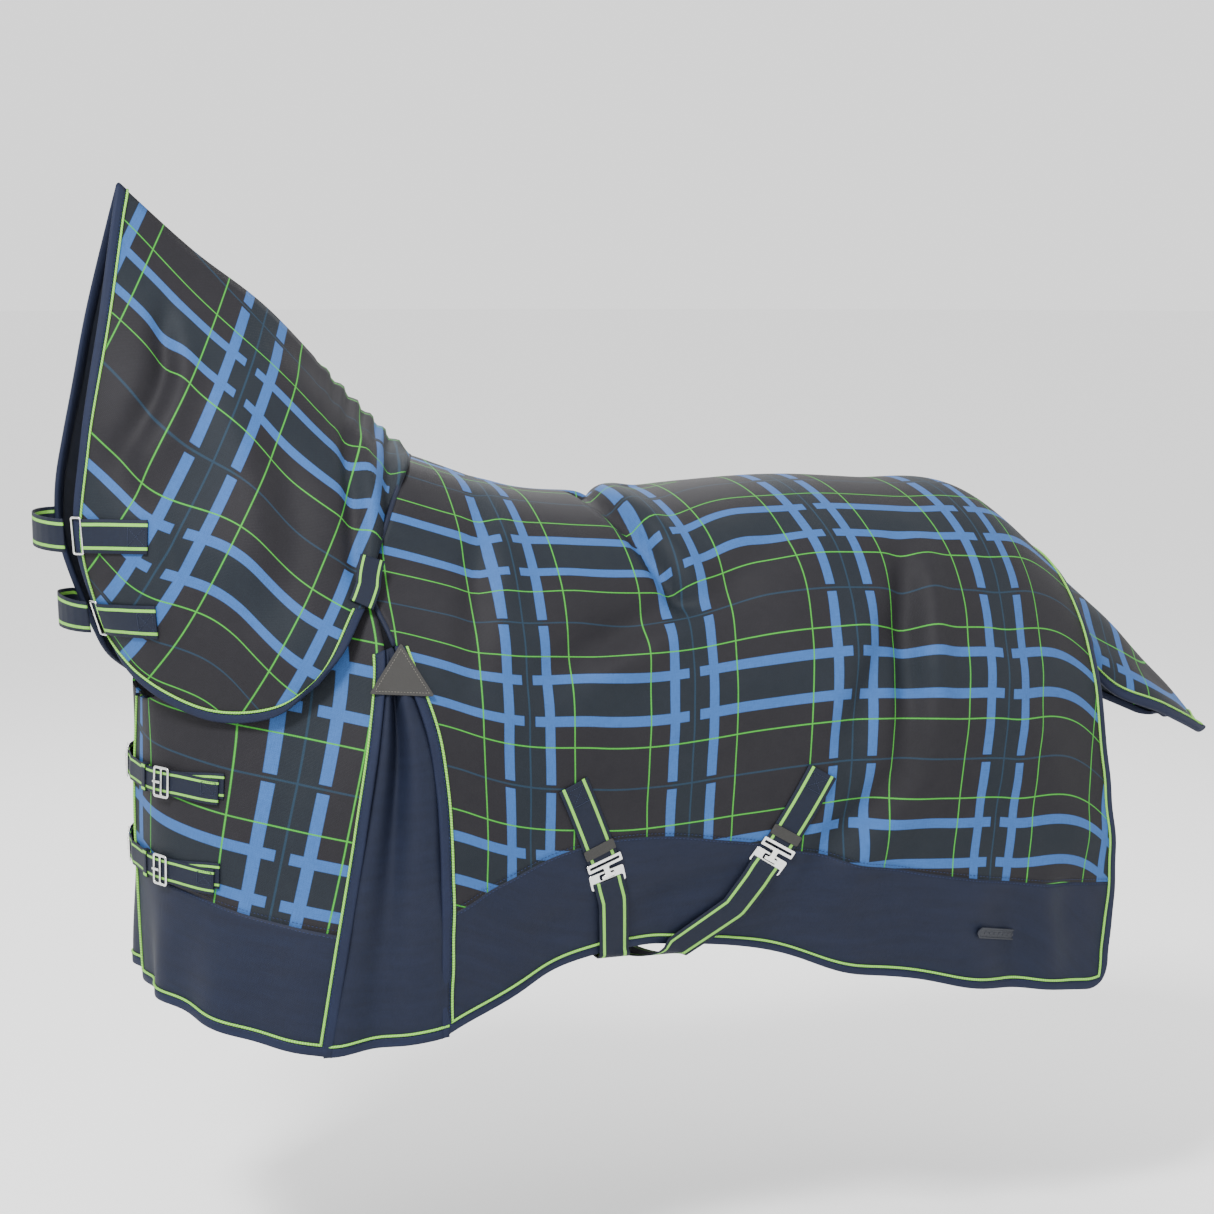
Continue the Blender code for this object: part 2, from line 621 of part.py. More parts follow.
def chest_closure(word, height):
    """One chest strap: sewn base strap, buckled tongue, keeper, hook, slot plate, right strap."""
    left, left_normals = level_run(chest_surface, LEFT, height, np.linspace(0.60, 0.0, 25))
    right, right_normals = level_run(chest_surface, RIGHT, height, np.linspace(0.0, 0.50, 21)[1:])
    run = Run(np.vstack([left, right]), np.vstack([left_normals, right_normals]))
    middle = run.reach[24]
    base = STRAP_LIFT
    tongue = base + WEB_THICK + GAP
    top = tongue + WEB_THICK + GAP
    buckle = middle - BUCKLE_FROM_CENTRE
    keeper = middle - KEEPER_FROM_CENTRE
    tip = middle + HOOK_FROM_CENTRE
    sewn = np.linspace(middle - 0.235, buckle + 0.004, 12)
    settle = smooth(1 - (sewn - sewn[0]) / 0.05)
    ribbon(f"chest_strap_base_{word}", *run.at(sewn, base + (OUTER_FACE + GAP - base) * settle), CHEST_WEB)
    run.strap(f"chest_tongue_{word}", middle - 0.228, tip, CHEST_WEB, tongue, 14)
    half = BUCKLE_LONG / 2
    bar = 0.003
    window = CHEST_WEB + 2 * GAP
    frame = run.frame(buckle, top)
    plate(f"chest_buckle_{word}", rectangle(-half, half, window + 2 * BUCKLE_RIM, 0.003),
          [rectangle(BUCKLE_RIM - half, -bar / 2, window), rectangle(bar / 2, half - BUCKLE_RIM, window)],
          PLATE_THICK, frame)
    plate(f"chest_prong_{word}", rectangle(0.0, half, PRONG_WIDTH), [], PLATE_THICK,
          frame @ Matrix.Translation((0, 0, PLATE_THICK + GAP)))
    keeper_low = base - GAP - KEEPER_WALL
    keeper_high = top
    middle_lift = (keeper_low + keeper_high + KEEPER_WALL) / 2
    inside = keeper_high - keeper_low - KEEPER_WALL
    loop = run.frame(keeper, middle_lift) @ Matrix.Rotation(math.pi / 2, 4, "Y")
    wide = CHEST_WEB + 2 * KEEPER_CLEAR
    plate(f"chest_keeper_{word}",
          rectangle(-inside / 2 - KEEPER_WALL, inside / 2 + KEEPER_WALL, wide + 2 * KEEPER_WALL),
          [rectangle(-inside / 2, inside / 2, wide)], KEEPER_LENGTH,
          loop @ Matrix.Translation((0, 0, -KEEPER_LENGTH / 2)), "webbing")
    hook_and_plate(f"chest_hook_{word}", f"chest_slot_plate_{word}", run, tip, CHEST_WEB, top)
    far = np.linspace(tip + HOOK_LONG + 0.010, middle + 0.190, 9)
    fade = smooth((far - middle) / (run.reach[-1] - middle) * 0.5 / CHEST_STEP_FADE)
    plate_lift = tongue - WEB_THICK - GAP
    cloth_lift = OUTER_FACE + 2 * GAP - CHEST_STEP * (1 - fade)
    settle = smooth((far - far[0] - 0.012) / 0.045)
    centre, normal = run.at(far, plate_lift + (cloth_lift - plate_lift) * settle)
    ribbon(f"chest_strap_right_{word}", centre, normal, CHEST_WEB)


def hook_and_plate(hook, slot, run, start, web, lift):
    """T hook on the end of one strap, over the slotted plate on the start of the next."""
    half = web / 2 + PLATE_RIM
    stem, head = 0.0045, 0.011
    outline = [(-0.002, -half), (0.012, -half), (0.012, -stem), (HOOK_LONG - 0.006, -stem),
               (HOOK_LONG - 0.006, -head), (HOOK_LONG, -head), (HOOK_LONG, head),
               (HOOK_LONG - 0.006, head), (HOOK_LONG - 0.006, stem), (0.012, stem), (0.012, half),
               (-0.002, half)]
    frame = run.frame(start, lift)
    plate(hook, outline, [rectangle(0.003, 0.007, web)], PLATE_THICK, frame)
    under = run.frame(start + HOOK_LONG, lift - PLATE_THICK - GAP)
    plate(slot, rectangle(-0.012, 0.014, 2 * half, 0.002),
          [rectangle(-0.008, 0.001, 2 * head + 0.002), rectangle(0.005, 0.010, web)], PLATE_THICK, under)
    return under


def surcingle(word, left_side, right_side, sag):
    """Cross surcingle: billet and hook on the near side, then webbing under the belly to the off side."""
    places = [locate(body_surface, x, z) for x, z in left_side]
    hem_u = places[-1][0]
    left, left_normals = run_on(body_surface, LEFT, places[:-1] + [(hem_u, 1.0)])
    places = [locate(body_surface, x, z) for x, z in right_side]
    right, right_normals = run_on(body_surface, RIGHT, places[:-1] + [(places[-1][0], 1.0)])
    billet_lift = OUTER_FACE + 2 * GAP
    hook_lift = billet_lift + PLATE_THICK + GAP
    web_lift = OUTER_FACE + HEM_CLEAR
    run = Run(left, left_normals)
    run.strap(f"surcingle_billet_{word}", 0.0, BILLET_LONG, WEB, billet_lift)
    slotted = hook_and_plate(f"surcingle_hook_{word}", f"surcingle_slot_plate_{word}", run, BILLET_LONG,
                             WEB, hook_lift)
    near, near_normals = run.at(np.linspace(BILLET_LONG + HOOK_LONG + 0.035, run.reach[-1], 6), web_lift)
    on_plate = [slotted @ Vector((x, 0, PLATE_THICK + GAP)) for x in (0.004, 0.017)]
    near = np.vstack([on_plate, near])
    near_normals = np.vstack([[slotted.col[2][:3]] * 2, near_normals])
    off = Run(right, right_normals)
    up = np.linspace(off.reach[-1], off.reach[-1] - RIGHT_RUN, 7)
    far, far_normals = off.at(up, web_lift)
    under, under_normals = belly_crossing(near, far, sag)
    centre = np.vstack([near, under, far])
    normal = np.vstack([near_normals, under_normals, far_normals])
    ribbon(f"surcingle_web_{word}", centre, normal, WEB)
    place = off.frame(off.reach[-1] - RIGHT_RUN + 0.055, web_lift + WEB_THICK + GAP)
    plate(f"surcingle_slider_{word}", rectangle(-0.015, 0.015, WEB + 2 * PLATE_RIM, 0.003),
          [rectangle(-0.011, -0.002, WEB), rectangle(0.002, 0.011, WEB)], PLATE_THICK, place)


def belly_crossing(near, far, sag):
    """Half an ellipse under the belly, from the end of one run to the start of the other.

    It leaves and meets the two runs in their own directions and bends away over BELLY_TURN.
    """
    start, end = near[-1], far[0]
    turn = np.linspace(0, math.pi, 21)[1:-1]
    half = (end[1] - start[1]) / 2
    across = half * (1 - np.cos(turn))
    down = sag * np.sin(turn)
    gone = np.hypot(across, down)
    left = np.hypot(2 * half - across, down)
    lead = (near[-1] - near[-2]) / np.linalg.norm(near[-1] - near[-2])
    follow = (far[1] - far[0]) / np.linalg.norm(far[1] - far[0])
    under = start + (end - start) * (across / (2 * half))[:, None]
    under[:, 0] += lead[0] * gone * np.exp(-gone / BELLY_TURN) - follow[0] * left * np.exp(-left / BELLY_TURN)
    under[:, 2] -= down
    normals = np.stack([0 * turn, -np.cos(turn) / half, -np.sin(turn) / sag], 1)
    return under, normals / np.linalg.norm(normals, axis=1, keepdims=True)


def neck_closure(word, height):
    """Throat strap: anchor on the near half, wire ring at the edge, strap to the off half."""
    near, near_normals = level_run(neck_surface, LEFT, height, np.linspace(0.34, 0.0, 18))
    off, off_normals = level_run(neck_surface, RIGHT, height, np.linspace(0.0, 0.34, 18))
    turn = np.linspace(0, math.pi, 13)[1:-1]
    middle = (near[-1] + off[0]) / 2
    half = off[0][1]
    across = np.stack([middle[0] - THROAT_BULGE * np.sin(turn), -half * np.cos(turn),
                       np.full_like(turn, middle[2])], 1)
    across_normals = np.stack([-np.sin(turn) / THROAT_BULGE, -np.cos(turn) / half, 0 * turn], 1)
    across_normals /= np.linalg.norm(across_normals, axis=1, keepdims=True)
    across_normals[:, 2] = near_normals[-1][2] * np.cos(turn)**2
    run = Run(np.vstack([near, across, off]), np.vstack([near_normals, across_normals, off_normals]))
    edge = run.reach[17]
    lift = OUTER_FACE + 2 * GAP
    ring_start = edge - RING_LONG
    run.strap(f"neck_anchor_{word}", edge - ANCHOR_LONG, ring_start - WIRE - GAP, WEB, lift, 8)
    frame = run.frame(edge - RING_LONG / 2, lift + WIRE)
    ring = rectangle(-RING_LONG / 2, RING_LONG / 2, WEB + 2 * WIRE, 0.003)
    wire_ring(f"neck_ring_{word}", ring, frame)
    run.strap(f"neck_strap_{word}", edge + RING_CLEAR, run.reach[-1] - 0.02, WEB, lift, 18)


def wire_ring(name, outline, place):
    curve = bpy.data.curves.new(name, "CURVE")
    curve.dimensions = "3D"
    curve.bevel_depth = WIRE
    curve.bevel_resolution = 2
    spline = curve.splines.new("POLY")
    spline.points.add(len(outline) - 1)
    for point, (x, y) in zip(spline.points, outline):
        point.co = (x, y, 0, 1)
    spline.use_cyclic_u = True
    obj = finish_object(bpy.data.objects.new(name, curve), name, "steel")
    obj.matrix_world = place


def build():
    for side, word in ((LEFT, "left"), (RIGHT, "right")):
        rug_side(side, word)
        chest_side(side, word)
        gusset_side(side, word)
        neck_side(side, word)
    tail_flap()
    badge()
    for word, height in CHEST_STRAP_HEIGHTS.items():
        chest_closure(word, height)
    for word, height in NECK_STRAP_HEIGHTS.items():
        neck_closure(word, height)
    surcingle("front", FRONT_SURCINGLE, REAR_SURCINGLE, BELLY_SAG)
    surcingle("rear", REAR_SURCINGLE, FRONT_SURCINGLE, BELLY_SAG + BELLY_CROSSING)


def clear_scene():
    for obj in list(bpy.data.objects):
        bpy.data.objects.remove(obj, do_unlink=True)


clear_scene()
parts = bpy.data.collections.new("turnout_rug")
bpy.context.scene.collection.children.link(parts)
build()
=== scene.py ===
"""Full-neck turnout rug in checked waterproof cloth, in the shape it takes on a standing horse.

Metres, +Z up. The horse faces -X and its near (left) side is at -Y. The sections follow the
rug as it is sewn together: cloth, edge bindings, gussets, chest, neck, tail flap, fastenings.
"""
import math

import bpy
import numpy as np
from mathutils import Matrix, Vector


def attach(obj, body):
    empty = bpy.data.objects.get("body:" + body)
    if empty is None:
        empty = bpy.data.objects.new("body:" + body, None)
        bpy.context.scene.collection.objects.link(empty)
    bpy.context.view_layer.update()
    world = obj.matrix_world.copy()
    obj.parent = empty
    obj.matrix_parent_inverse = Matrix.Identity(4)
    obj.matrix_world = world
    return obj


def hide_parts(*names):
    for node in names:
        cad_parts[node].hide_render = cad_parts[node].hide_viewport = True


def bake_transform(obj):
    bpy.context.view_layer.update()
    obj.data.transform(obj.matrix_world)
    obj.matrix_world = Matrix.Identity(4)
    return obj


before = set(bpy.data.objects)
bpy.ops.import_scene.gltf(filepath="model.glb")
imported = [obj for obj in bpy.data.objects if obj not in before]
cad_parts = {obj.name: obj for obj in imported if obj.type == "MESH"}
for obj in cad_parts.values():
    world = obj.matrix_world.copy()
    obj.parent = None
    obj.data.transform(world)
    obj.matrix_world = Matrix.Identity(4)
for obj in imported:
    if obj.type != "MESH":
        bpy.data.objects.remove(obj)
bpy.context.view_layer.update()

# ---------------------------------------------------------------- camera, floor and light
# The rug is seen from its near side, a little from the front and from above.
# It hangs in its worn shape over a plain pale floor, under large soft lights.

TARGET = Vector((0.33, 0, -0.25))
VIEW_TURN, VIEW_RISE, VIEW_DISTANCE = math.radians(-20), math.radians(8), 4.2
towards = Vector((math.sin(VIEW_TURN) * math.cos(VIEW_RISE), -math.cos(VIEW_TURN) * math.cos(VIEW_RISE),
                  math.sin(VIEW_RISE)))
camera = bpy.data.objects.new("camera", bpy.data.cameras.new("camera"))
camera.data.sensor_width = 36
camera.data.lens = 77.1
camera.data.clip_end = 200
camera.location = TARGET + VIEW_DISTANCE * towards
camera.rotation_euler = (-towards).to_track_quat("-Z", "Y").to_euler()
bpy.context.scene.collection.objects.link(camera)
bpy.context.scene.camera = camera

FLOOR_HEIGHT, FLOOR_REACH = -1.30, 60.0


def plain_material(name, colour, roughness):
    """A matt finish of one colour."""
    made = bpy.data.materials.new(name)
    made.use_nodes = True
    shader = made.node_tree.nodes["Principled BSDF"]
    shader.inputs["Base Color"].default_value = (*colour, 1)
    shader.inputs["Roughness"].default_value = roughness
    return made


floor_mesh = bpy.data.meshes.new("floor")
turn = np.linspace(0, 2 * math.pi, 97)[:-1]
ring = np.stack([FLOOR_REACH * np.cos(turn), FLOOR_REACH * np.sin(turn), np.full_like(turn, FLOOR_HEIGHT)], 1)
floor_mesh.from_pydata(ring.tolist(), [], [list(range(len(ring)))])
floor_mesh.materials.append(plain_material("floor", (0.93, 0.93, 0.93), 0.9))
floor = bpy.data.objects.new("floor", floor_mesh)
bpy.context.scene.collection.objects.link(floor)

world = bpy.data.worlds.new("studio")
world.use_nodes = True
world.node_tree.nodes["Background"].inputs["Color"].default_value = (1, 1, 1, 1)
world.node_tree.nodes["Background"].inputs["Strength"].default_value = 1.5
bpy.context.scene.world = world


def soft_light(name, place, size, watts):
    """A large square lamp that faces the rug."""
    lamp = bpy.data.objects.new(name, bpy.data.lights.new(name, "AREA"))
    lamp.data.size = size
    lamp.data.energy = watts
    lamp.location = place
    lamp.rotation_euler = (TARGET - Vector(place)).to_track_quat("-Z", "Y").to_euler()
    bpy.context.scene.collection.objects.link(lamp)


soft_light("key", (-2.4, -2.6, 3.4), 1.1, 420)
soft_light("fill", (3.4, -3.0, 1.2), 2.5, 40)
soft_light("back", (1.0, 3.6, 2.4), 2.5, 90)

# ---------------------------------------------------------------- rug behind the shoulder
# Waterproof checked outer cloth with a plain navy band below and a thin nylon lining inside.
# One cut lies over the back to both sides. It is sewn to the neck cover and the chest panels
# along the shoulder, and its folds come from the horse's withers, loin and flank.

LINING_THICK, LAYER_GAP, CLOTH_THICK = 0.0018, 0.0005, 0.004
OUTER_LOW = LINING_THICK + LAYER_GAP
OUTER_FACE = OUTER_LOW + CLOTH_THICK
HALF_WIDTH, BAND = 0.33, 0.185
SHOULDER = np.array([
    (0, 0, 0), (-0.035, 0.100, -0.012), (-0.085, 0.190, -0.070), (-0.125, 0.243, -0.165),
    (-0.105, 0.285, -0.250), (-0.062, 0.325, -0.400), (-0.052, 0.338, -0.600), (-0.051, 0.335, -0.832),
])
TAB_SHARE, APEX_SHARE = 3 / 7, 4 / 7
NEAR, OFF = -1, 1
BACK_LENGTH = 1.09
RIB_STEPS = 81            # points along a rib where its length is measured


def through(points, u):
    """Points on the Catmull-Rom curve through the control points, for u from 0 to 1."""
    knots = np.asarray(points, float)
    knots = np.vstack([2 * knots[0] - knots[1], knots, 2 * knots[-1] - knots[-2]])
    place = np.clip(np.asarray(u, float), 0, 1) * (len(knots) - 3)
    first = np.minimum(place.astype(int), len(knots) - 4)
    f = (place - first)[..., None]
    a, b, c, d = (knots[first + k] for k in range(4))
    return 0.5 * (2 * b + (c - a) * f + (2 * a - 5 * b + 4 * c - d) * f**2 + (3 * b - a - 3 * c + d) * f**3)


def smooth(x):
    """0 below 0, 1 above 1 and a smooth step between."""
    x = np.clip(x, 0, 1)
    return x * x * (3 - 2 * x)


def unit(vectors):
    """The vectors, each scaled to length 1."""
    return vectors / np.linalg.norm(vectors, axis=-1, keepdims=True)


def arch(t, wide, hem_wide, drop):
    """Distance out and down along one rib: a fourth order Bezier curve over the barrel to the hem."""
    weights = [math.comb(4, k) * (1 - t)**(4 - k) * t**k for k in range(5)]
    across = 0.56 * wide * weights[1] + 1.08 * wide * (weights[2] + weights[3]) + hem_wide * weights[4]
    return across, drop * (0.20 * weights[2] + 0.64 * weights[3] + weights[4])


def body_surface(s, t):
    """Rug behind the shoulder: s from shoulder to rear edge, t from spine to hem.

    Each rib is an arch from the spine line to the hem line. Over the first 0.28 of s it bends
    to the shoulder line.
    """
    s, t = np.broadcast_arrays(np.asarray(s, float), np.asarray(t, float))
    spine = through([(0, 0), (0.10, -0.052), (0.25, -0.066), (0.42, -0.056), (0.58, -0.050),
                     (0.74, -0.060), (0.86, -0.074), (1.0, -0.190)], s)
    hem = through([(-0.051, -0.832), (0.181, -0.742), (0.413, -0.748), (0.644, -0.806),
                   (0.876, -0.852), (1.108, -0.886)], s)
    wide = through([(0.90,), (0.97,), (1.02,), (1.06,), (1.05,), (0.84,)], s)[..., 0] * HALF_WIDTH
    hem_wide = through([(1.0,), (0.86,), (0.80,), (0.90,), (0.95,), (0.84,)], s)[..., 0] * HALF_WIDTH
    across, down = arch(t, wide, hem_wide, hem[..., 1] - spine[..., 1])
    top_x = s * BACK_LENGTH
    rib = np.stack([top_x + (hem[..., 0] - top_x) * t, across, spine[..., 1] + down], -1)
    first_across, first_down = arch(t, 0.90 * HALF_WIDTH, HALF_WIDTH, -0.832)
    first_rib = np.stack([-0.051 * t, first_across, first_down], -1)
    return rib + (1 - smooth(s / 0.28))[..., None] * (through(SHOULDER, t) - first_rib)


def waves(a, b, seed, length, height):
    """Eight sine waves in seeded directions, with lengths from 0.7 to 1.5 of the given one."""
    total = 0.0
    for turn, phase, stretch in np.random.default_rng(seed).random((8, 3)):
        pitch = 2 * math.pi / (length * (0.7 + 0.8 * stretch))
        total = total + np.sin(pitch * (a * math.cos(math.pi * turn) + b * math.sin(math.pi * turn))
                               + 2 * math.pi * phase)
    return height * total / math.sqrt(8)


def crease(a, b, line, width, wide_end=1.0):
    """A bell curve around a line through the given points, 0 at its ends and up to 1 between.

    Its half width goes from width at the line's start to wide_end times that at its end.
    """
    share = np.linspace(0, 1, 40)
    spots = through(line, share)
    widths = width * (1 + (wide_end - 1) * share)
    strength = np.sin(math.pi * np.clip(share, 0.02, 0.98))**0.6
    peak = np.zeros(np.shape(a))
    for (x, z), wide, strong in zip(spots, widths, strength):
        peak = np.maximum(peak, strong * np.exp(-((a - x)**2 + (b - z)**2) / wide**2))
    return peak


BODY_FOLDS = [
    # line in side view, half width, end width, height; the off side has them too, 20 mm further back
    ([(0.072, -0.050), (0.045, -0.137), (0.026, -0.219), (0.002, -0.331)], 0.020, 1.4, -0.0075),
    ([(0.105, -0.052), (0.082, -0.140), (0.060, -0.230), (0.035, -0.330)], 0.026, 1.3, 0.0060),
    ([(0.270, -0.060), (0.290, -0.075), (0.315, -0.116), (0.349, -0.195), (0.372, -0.212)],
     0.015, 1.0, -0.0150),
    ([(0.310, -0.060), (0.335, -0.085), (0.365, -0.135), (0.395, -0.185)], 0.026, 1.0, 0.0100),
    ([(0.366, -0.206), (0.303, -0.226), (0.254, -0.248), (0.178, -0.282), (0.120, -0.300)],
     0.024, 1.5, -0.0130),
    ([(0.366, -0.248), (0.303, -0.272), (0.240, -0.297), (0.170, -0.330)], 0.026, 1.4, 0.0070),
    ([(0.371, -0.209), (0.425, -0.194), (0.502, -0.147), (0.592, -0.101)], 0.020, 1.8, -0.0075),
    ([(0.742, -0.150), (0.730, -0.220), (0.716, -0.290), (0.709, -0.370), (0.694, -0.480)],
     0.022, 1.2, -0.0175),
    ([(0.790, -0.150), (0.775, -0.200), (0.759, -0.298), (0.748, -0.403), (0.735, -0.500)],
     0.026, 1.2, 0.0110),
    ([(0.712, -0.205), (0.665, -0.300), (0.620, -0.385), (0.589, -0.461), (0.586, -0.550)],
     0.022, 1.5, -0.0085),
    ([(0.672, -0.220), (0.625, -0.310), (0.580, -0.400), (0.552, -0.470)], 0.030, 1.4, 0.0050),
    ([(0.700, -0.465), (0.637, -0.529), (0.590, -0.570), (0.552, -0.622), (0.530, -0.690)],
     0.026, 1.5, -0.0125),
    ([(0.740, -0.510), (0.670, -0.575), (0.625, -0.620), (0.590, -0.680)], 0.030, 1.4, 0.0060),
    ([(0.080, -0.690), (0.257, -0.668), (0.405, -0.640), (0.470, -0.600)], 0.022, 1.4, -0.0070),
    ([(0.870, -0.690), (0.905, -0.760), (0.930, -0.850)], 0.030, 1.3, -0.0075),
    ([(0.990, -0.680), (1.015, -0.760), (1.040, -0.870)], 0.028, 1.3, -0.0060),
    ([(0.935, -0.660), (0.960, -0.760), (0.985, -0.870)], 0.030, 1.3, 0.0060),
    ([(0.000, -0.560), (0.035, -0.660), (0.050, -0.780)], 0.030, 1.3, -0.0060),
]
SURCINGLE_LINES = {
    "front": [(0.156, -0.465), (0.207, -0.585), (0.226, -0.650), (0.235, -0.715)],
    "rear": [(0.558, -0.470), (0.492, -0.585), (0.431, -0.680), (0.345, -0.730)],
}


def body_ruck(place, s, t, side):
    """Height of the rug's folds: the listed ones, long soft waves, and flutes towards the hem.

    The folds die down under the belly straps, which press the cloth flat.
    """
    x, z = place[..., 0], place[..., 2]
    free = np.ones(x.shape)
    for line in SURCINGLE_LINES.values():
        spots = through(line, np.linspace(0, 1, 16))
        near = np.min((x[..., None] - spots[:, 0])**2 + (z[..., None] - spots[:, 1])**2, axis=-1)
        free = free * (1 - np.exp(-near / 0.055**2))
    far = np.asarray(side) > 0
    total = np.zeros(x.shape)
    for line, width, wide_end, height in BODY_FOLDS:
        shift = np.where(far, 0.02, 0.0)
        total = total + height * crease(x - shift, z, line, width, wide_end)
    total = np.where(far, 1.2, 1.6) * total
    below = smooth((t - 0.1) / 0.3)
    soft = np.where(far, waves(x, z, 21, 0.30, 0.0040), waves(x, z, 7, 0.30, 0.0040))
    small = np.where(far, waves(x, z, 22, 0.10, 0.0012), waves(x, z, 8, 0.10, 0.0012))
    flutes = 0.0060 * smooth((t - 0.78) / 0.22) * np.sin(2 * math.pi * (x + 0.25 * z) / 0.19)
    return free * (total + below * (soft + small) + flutes)


def lay(surface, ruck, u, v, side, *lifts):
    """Points at each lift over a cloth surface, and its outward normals.

    The surface gives the off side. Each point moves out along the normal, from central
    differences, by its lift and the height of the ruck, and stays level over the spine. Side -1
    mirrors it to the near side.
    """
    u, v = np.broadcast_arrays(np.asarray(u, float), np.asarray(v, float))
    step = 1e-4
    along = surface(np.minimum(u + step, 1), v) - surface(np.maximum(u - step, 0), v)
    down = surface(u, np.minimum(v + step, 1)) - surface(u, np.maximum(v - step, 0))
    place = surface(u, v)
    normal = unit(np.cross(along, down))
    normal[..., 1] *= smooth(np.abs(place[..., 1]) / 0.015)
    normal = unit(normal)
    rise = ruck(place, u, v, side)
    flip = np.ones(place.shape)
    flip[..., 1] = side
    laid = [(place + normal * (rise + lift)[..., None]) * flip for lift in lifts]
    return laid, normal * flip


def make(name, points, faces, chart, finish, flat=0):
    """A mesh object. chart is each point's place on the cloth in metres, and the last faces are flat."""
    points = points.reshape(-1, 3)
    quads = np.array([face for face in faces if len(face) == 4])
    middle = points.mean(axis=0)
    a, b, c, d = (points[quads[:, k]] - middle for k in range(4))
    volume = (np.cross(a, b) * c).sum() + (np.cross(a, c) * d).sum()
    if volume < 0:
        faces = [face[::-1] for face in faces]
    mesh = bpy.data.meshes.new(name)
    mesh.from_pydata(points.tolist(), [], faces)
    corners = np.empty(len(mesh.loops), np.int32)
    mesh.loops.foreach_get("vertex_index", corners)
    layer = mesh.uv_layers.new(name="cloth")
    layer.data.foreach_set("uv", np.ascontiguousarray(chart.reshape(-1, 2)[corners], np.float32).ravel())
    rounded = np.ones(len(mesh.polygons), bool)
    rounded[len(rounded) - flat:] = False
    mesh.polygons.foreach_set("use_smooth", rounded)
    mesh.materials.append(finish)
    mesh.update()
    made = bpy.data.objects.new(name, mesh)
    bpy.context.scene.collection.objects.link(made)
    return made


def sheet(name, low, high, chart, finish):
    """Closed cloth between an inner and an outer grid of points."""
    index = np.arange(low.shape[0] * low.shape[1]).reshape(low.shape[:2])

    def quads(grid):
        return np.stack([grid[:-1, :-1], grid[1:, :-1], grid[1:, 1:], grid[:-1, 1:]], -1).reshape(-1, 4)

    rim = np.concatenate([index[:-1, 0], index[-1, :-1], index[:0:-1, -1], index[0, :0:-1]])
    after = np.roll(rim, -1)
    top = index.size
    walls = np.stack([rim, after, after + top, rim + top], 1)
    faces = np.concatenate([quads(index + top), quads(index)[:, ::-1], walls])
    points = np.concatenate([low.reshape(-1, 3), high.reshape(-1, 3)])
    return make(name, points, faces.tolist(), np.concatenate([chart, chart]), finish, len(walls))


def fit(made, body, slot, *nodes):
    """The piece goes with a body and stands for the CAD nodes, which it hides. The slot is not used.

    Where body is (first body, second body, start, end), its transform is baked into its mesh and it goes with
    no body.
    """
    if isinstance(body, tuple):
        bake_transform(made)
    else:
        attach(made, body)
    if nodes:
        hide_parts(*nodes)
    return made


def reaches(points):
    """Distance along each line of points, from 0 at its first one."""
    steps = np.linalg.norm(np.diff(points, axis=-2), axis=-1)
    return np.concatenate([0 * steps[..., :1], np.cumsum(steps, axis=-1)], axis=-1)


def arc_lengths(surface, u, v):
    """Length along each rib from v = 0 to each v of a grid whose second direction is v."""
    line = np.linspace(0, 1, RIB_STEPS)
    reach = reaches(surface(u[:, :1], line[None, :]))
    return np.stack([np.interp(each, line, run) for each, run in zip(v, reach)])


def rise_from_hem(surface, u, metres):
    """The v at which each rib still has the given length to go to the hem."""
    line = np.linspace(0, 1, RIB_STEPS)
    reach = reaches(surface(np.asarray(u)[:, None], line[None, :]))
    return np.array([np.interp(run[-1] - metres, run, line) for run in reach])


def paint(code):
    """Linear colour of a #rrggbb code."""
    parts = [int(code[k:k + 2], 16) / 255 for k in (1, 3, 5)]
    return (*[((c + 0.055) / 1.055)**2.4 if c > 0.04045 else c / 12.92 for c in parts], 1.0)


class Nodes:
    """Adds nodes to a shader tree and links what they are given."""

    def __init__(self, tree):
        self.tree = tree

    def add(self, kind, inputs=None, **settings):
        """A node with its settings, each input linked to a socket or set to a value."""
        made = self.tree.nodes.new(kind)
        for key, value in settings.items():
            setattr(made, key, value)
        for key, value in (inputs or {}).items():
            if isinstance(value, bpy.types.NodeSocket):
                self.tree.links.new(value, made.inputs[key])
            else:
                made.inputs[key].default_value = value
        return made

    def noise(self, where, scale, detail):
        """Cloudy noise from 0 to 1 over a place."""
        return self.add("ShaderNodeTexNoise", {"Vector": where, "Scale": scale, "Detail": detail}).outputs[0]

    def squeezed(self, where, factors):
        """The place with each part times its factor, which shrinks what is drawn there."""
        return self.add("ShaderNodeVectorMath", {0: where, 1: factors}, operation="MULTIPLY").outputs[0]

    def surface(self, colour, rough, height, strength, depth):
        """Gives the tree's shader its colour, its roughness and a relief from the height."""
        shader = self.tree.nodes["Principled BSDF"]
        relief = self.add("ShaderNodeBump", {"Height": height, "Strength": strength, "Distance": depth})
        self.tree.links.new(colour, shader.inputs["Base Color"])
        self.tree.links.new(rough, shader.inputs["Roughness"])
        self.tree.links.new(relief.outputs[0], shader.inputs["Normal"])
        return shader

    def math(self, operation, *values):
        return self.add("ShaderNodeMath", dict(enumerate(values)), operation=operation).outputs[0]

    def mix(self, share, first, second):
        """Colour from first to second as the share goes from 0 to 1."""
        inputs = {0: share, 6: first, 7: second}
        return self.add("ShaderNodeMix", inputs, data_type="RGBA").outputs[2]

    def band(self, distance, half, soft=0.0007):
        """1 where the distance is less than half, 0 beyond, with a soft edge."""
        inputs = {"Value": distance, "From Min": half - soft, "From Max": half + soft,
                  "To Min": 1.0, "To Max": 0.0}
        return self.add("ShaderNodeMapRange", inputs, interpolation_type="SMOOTHSTEP").outputs[0]


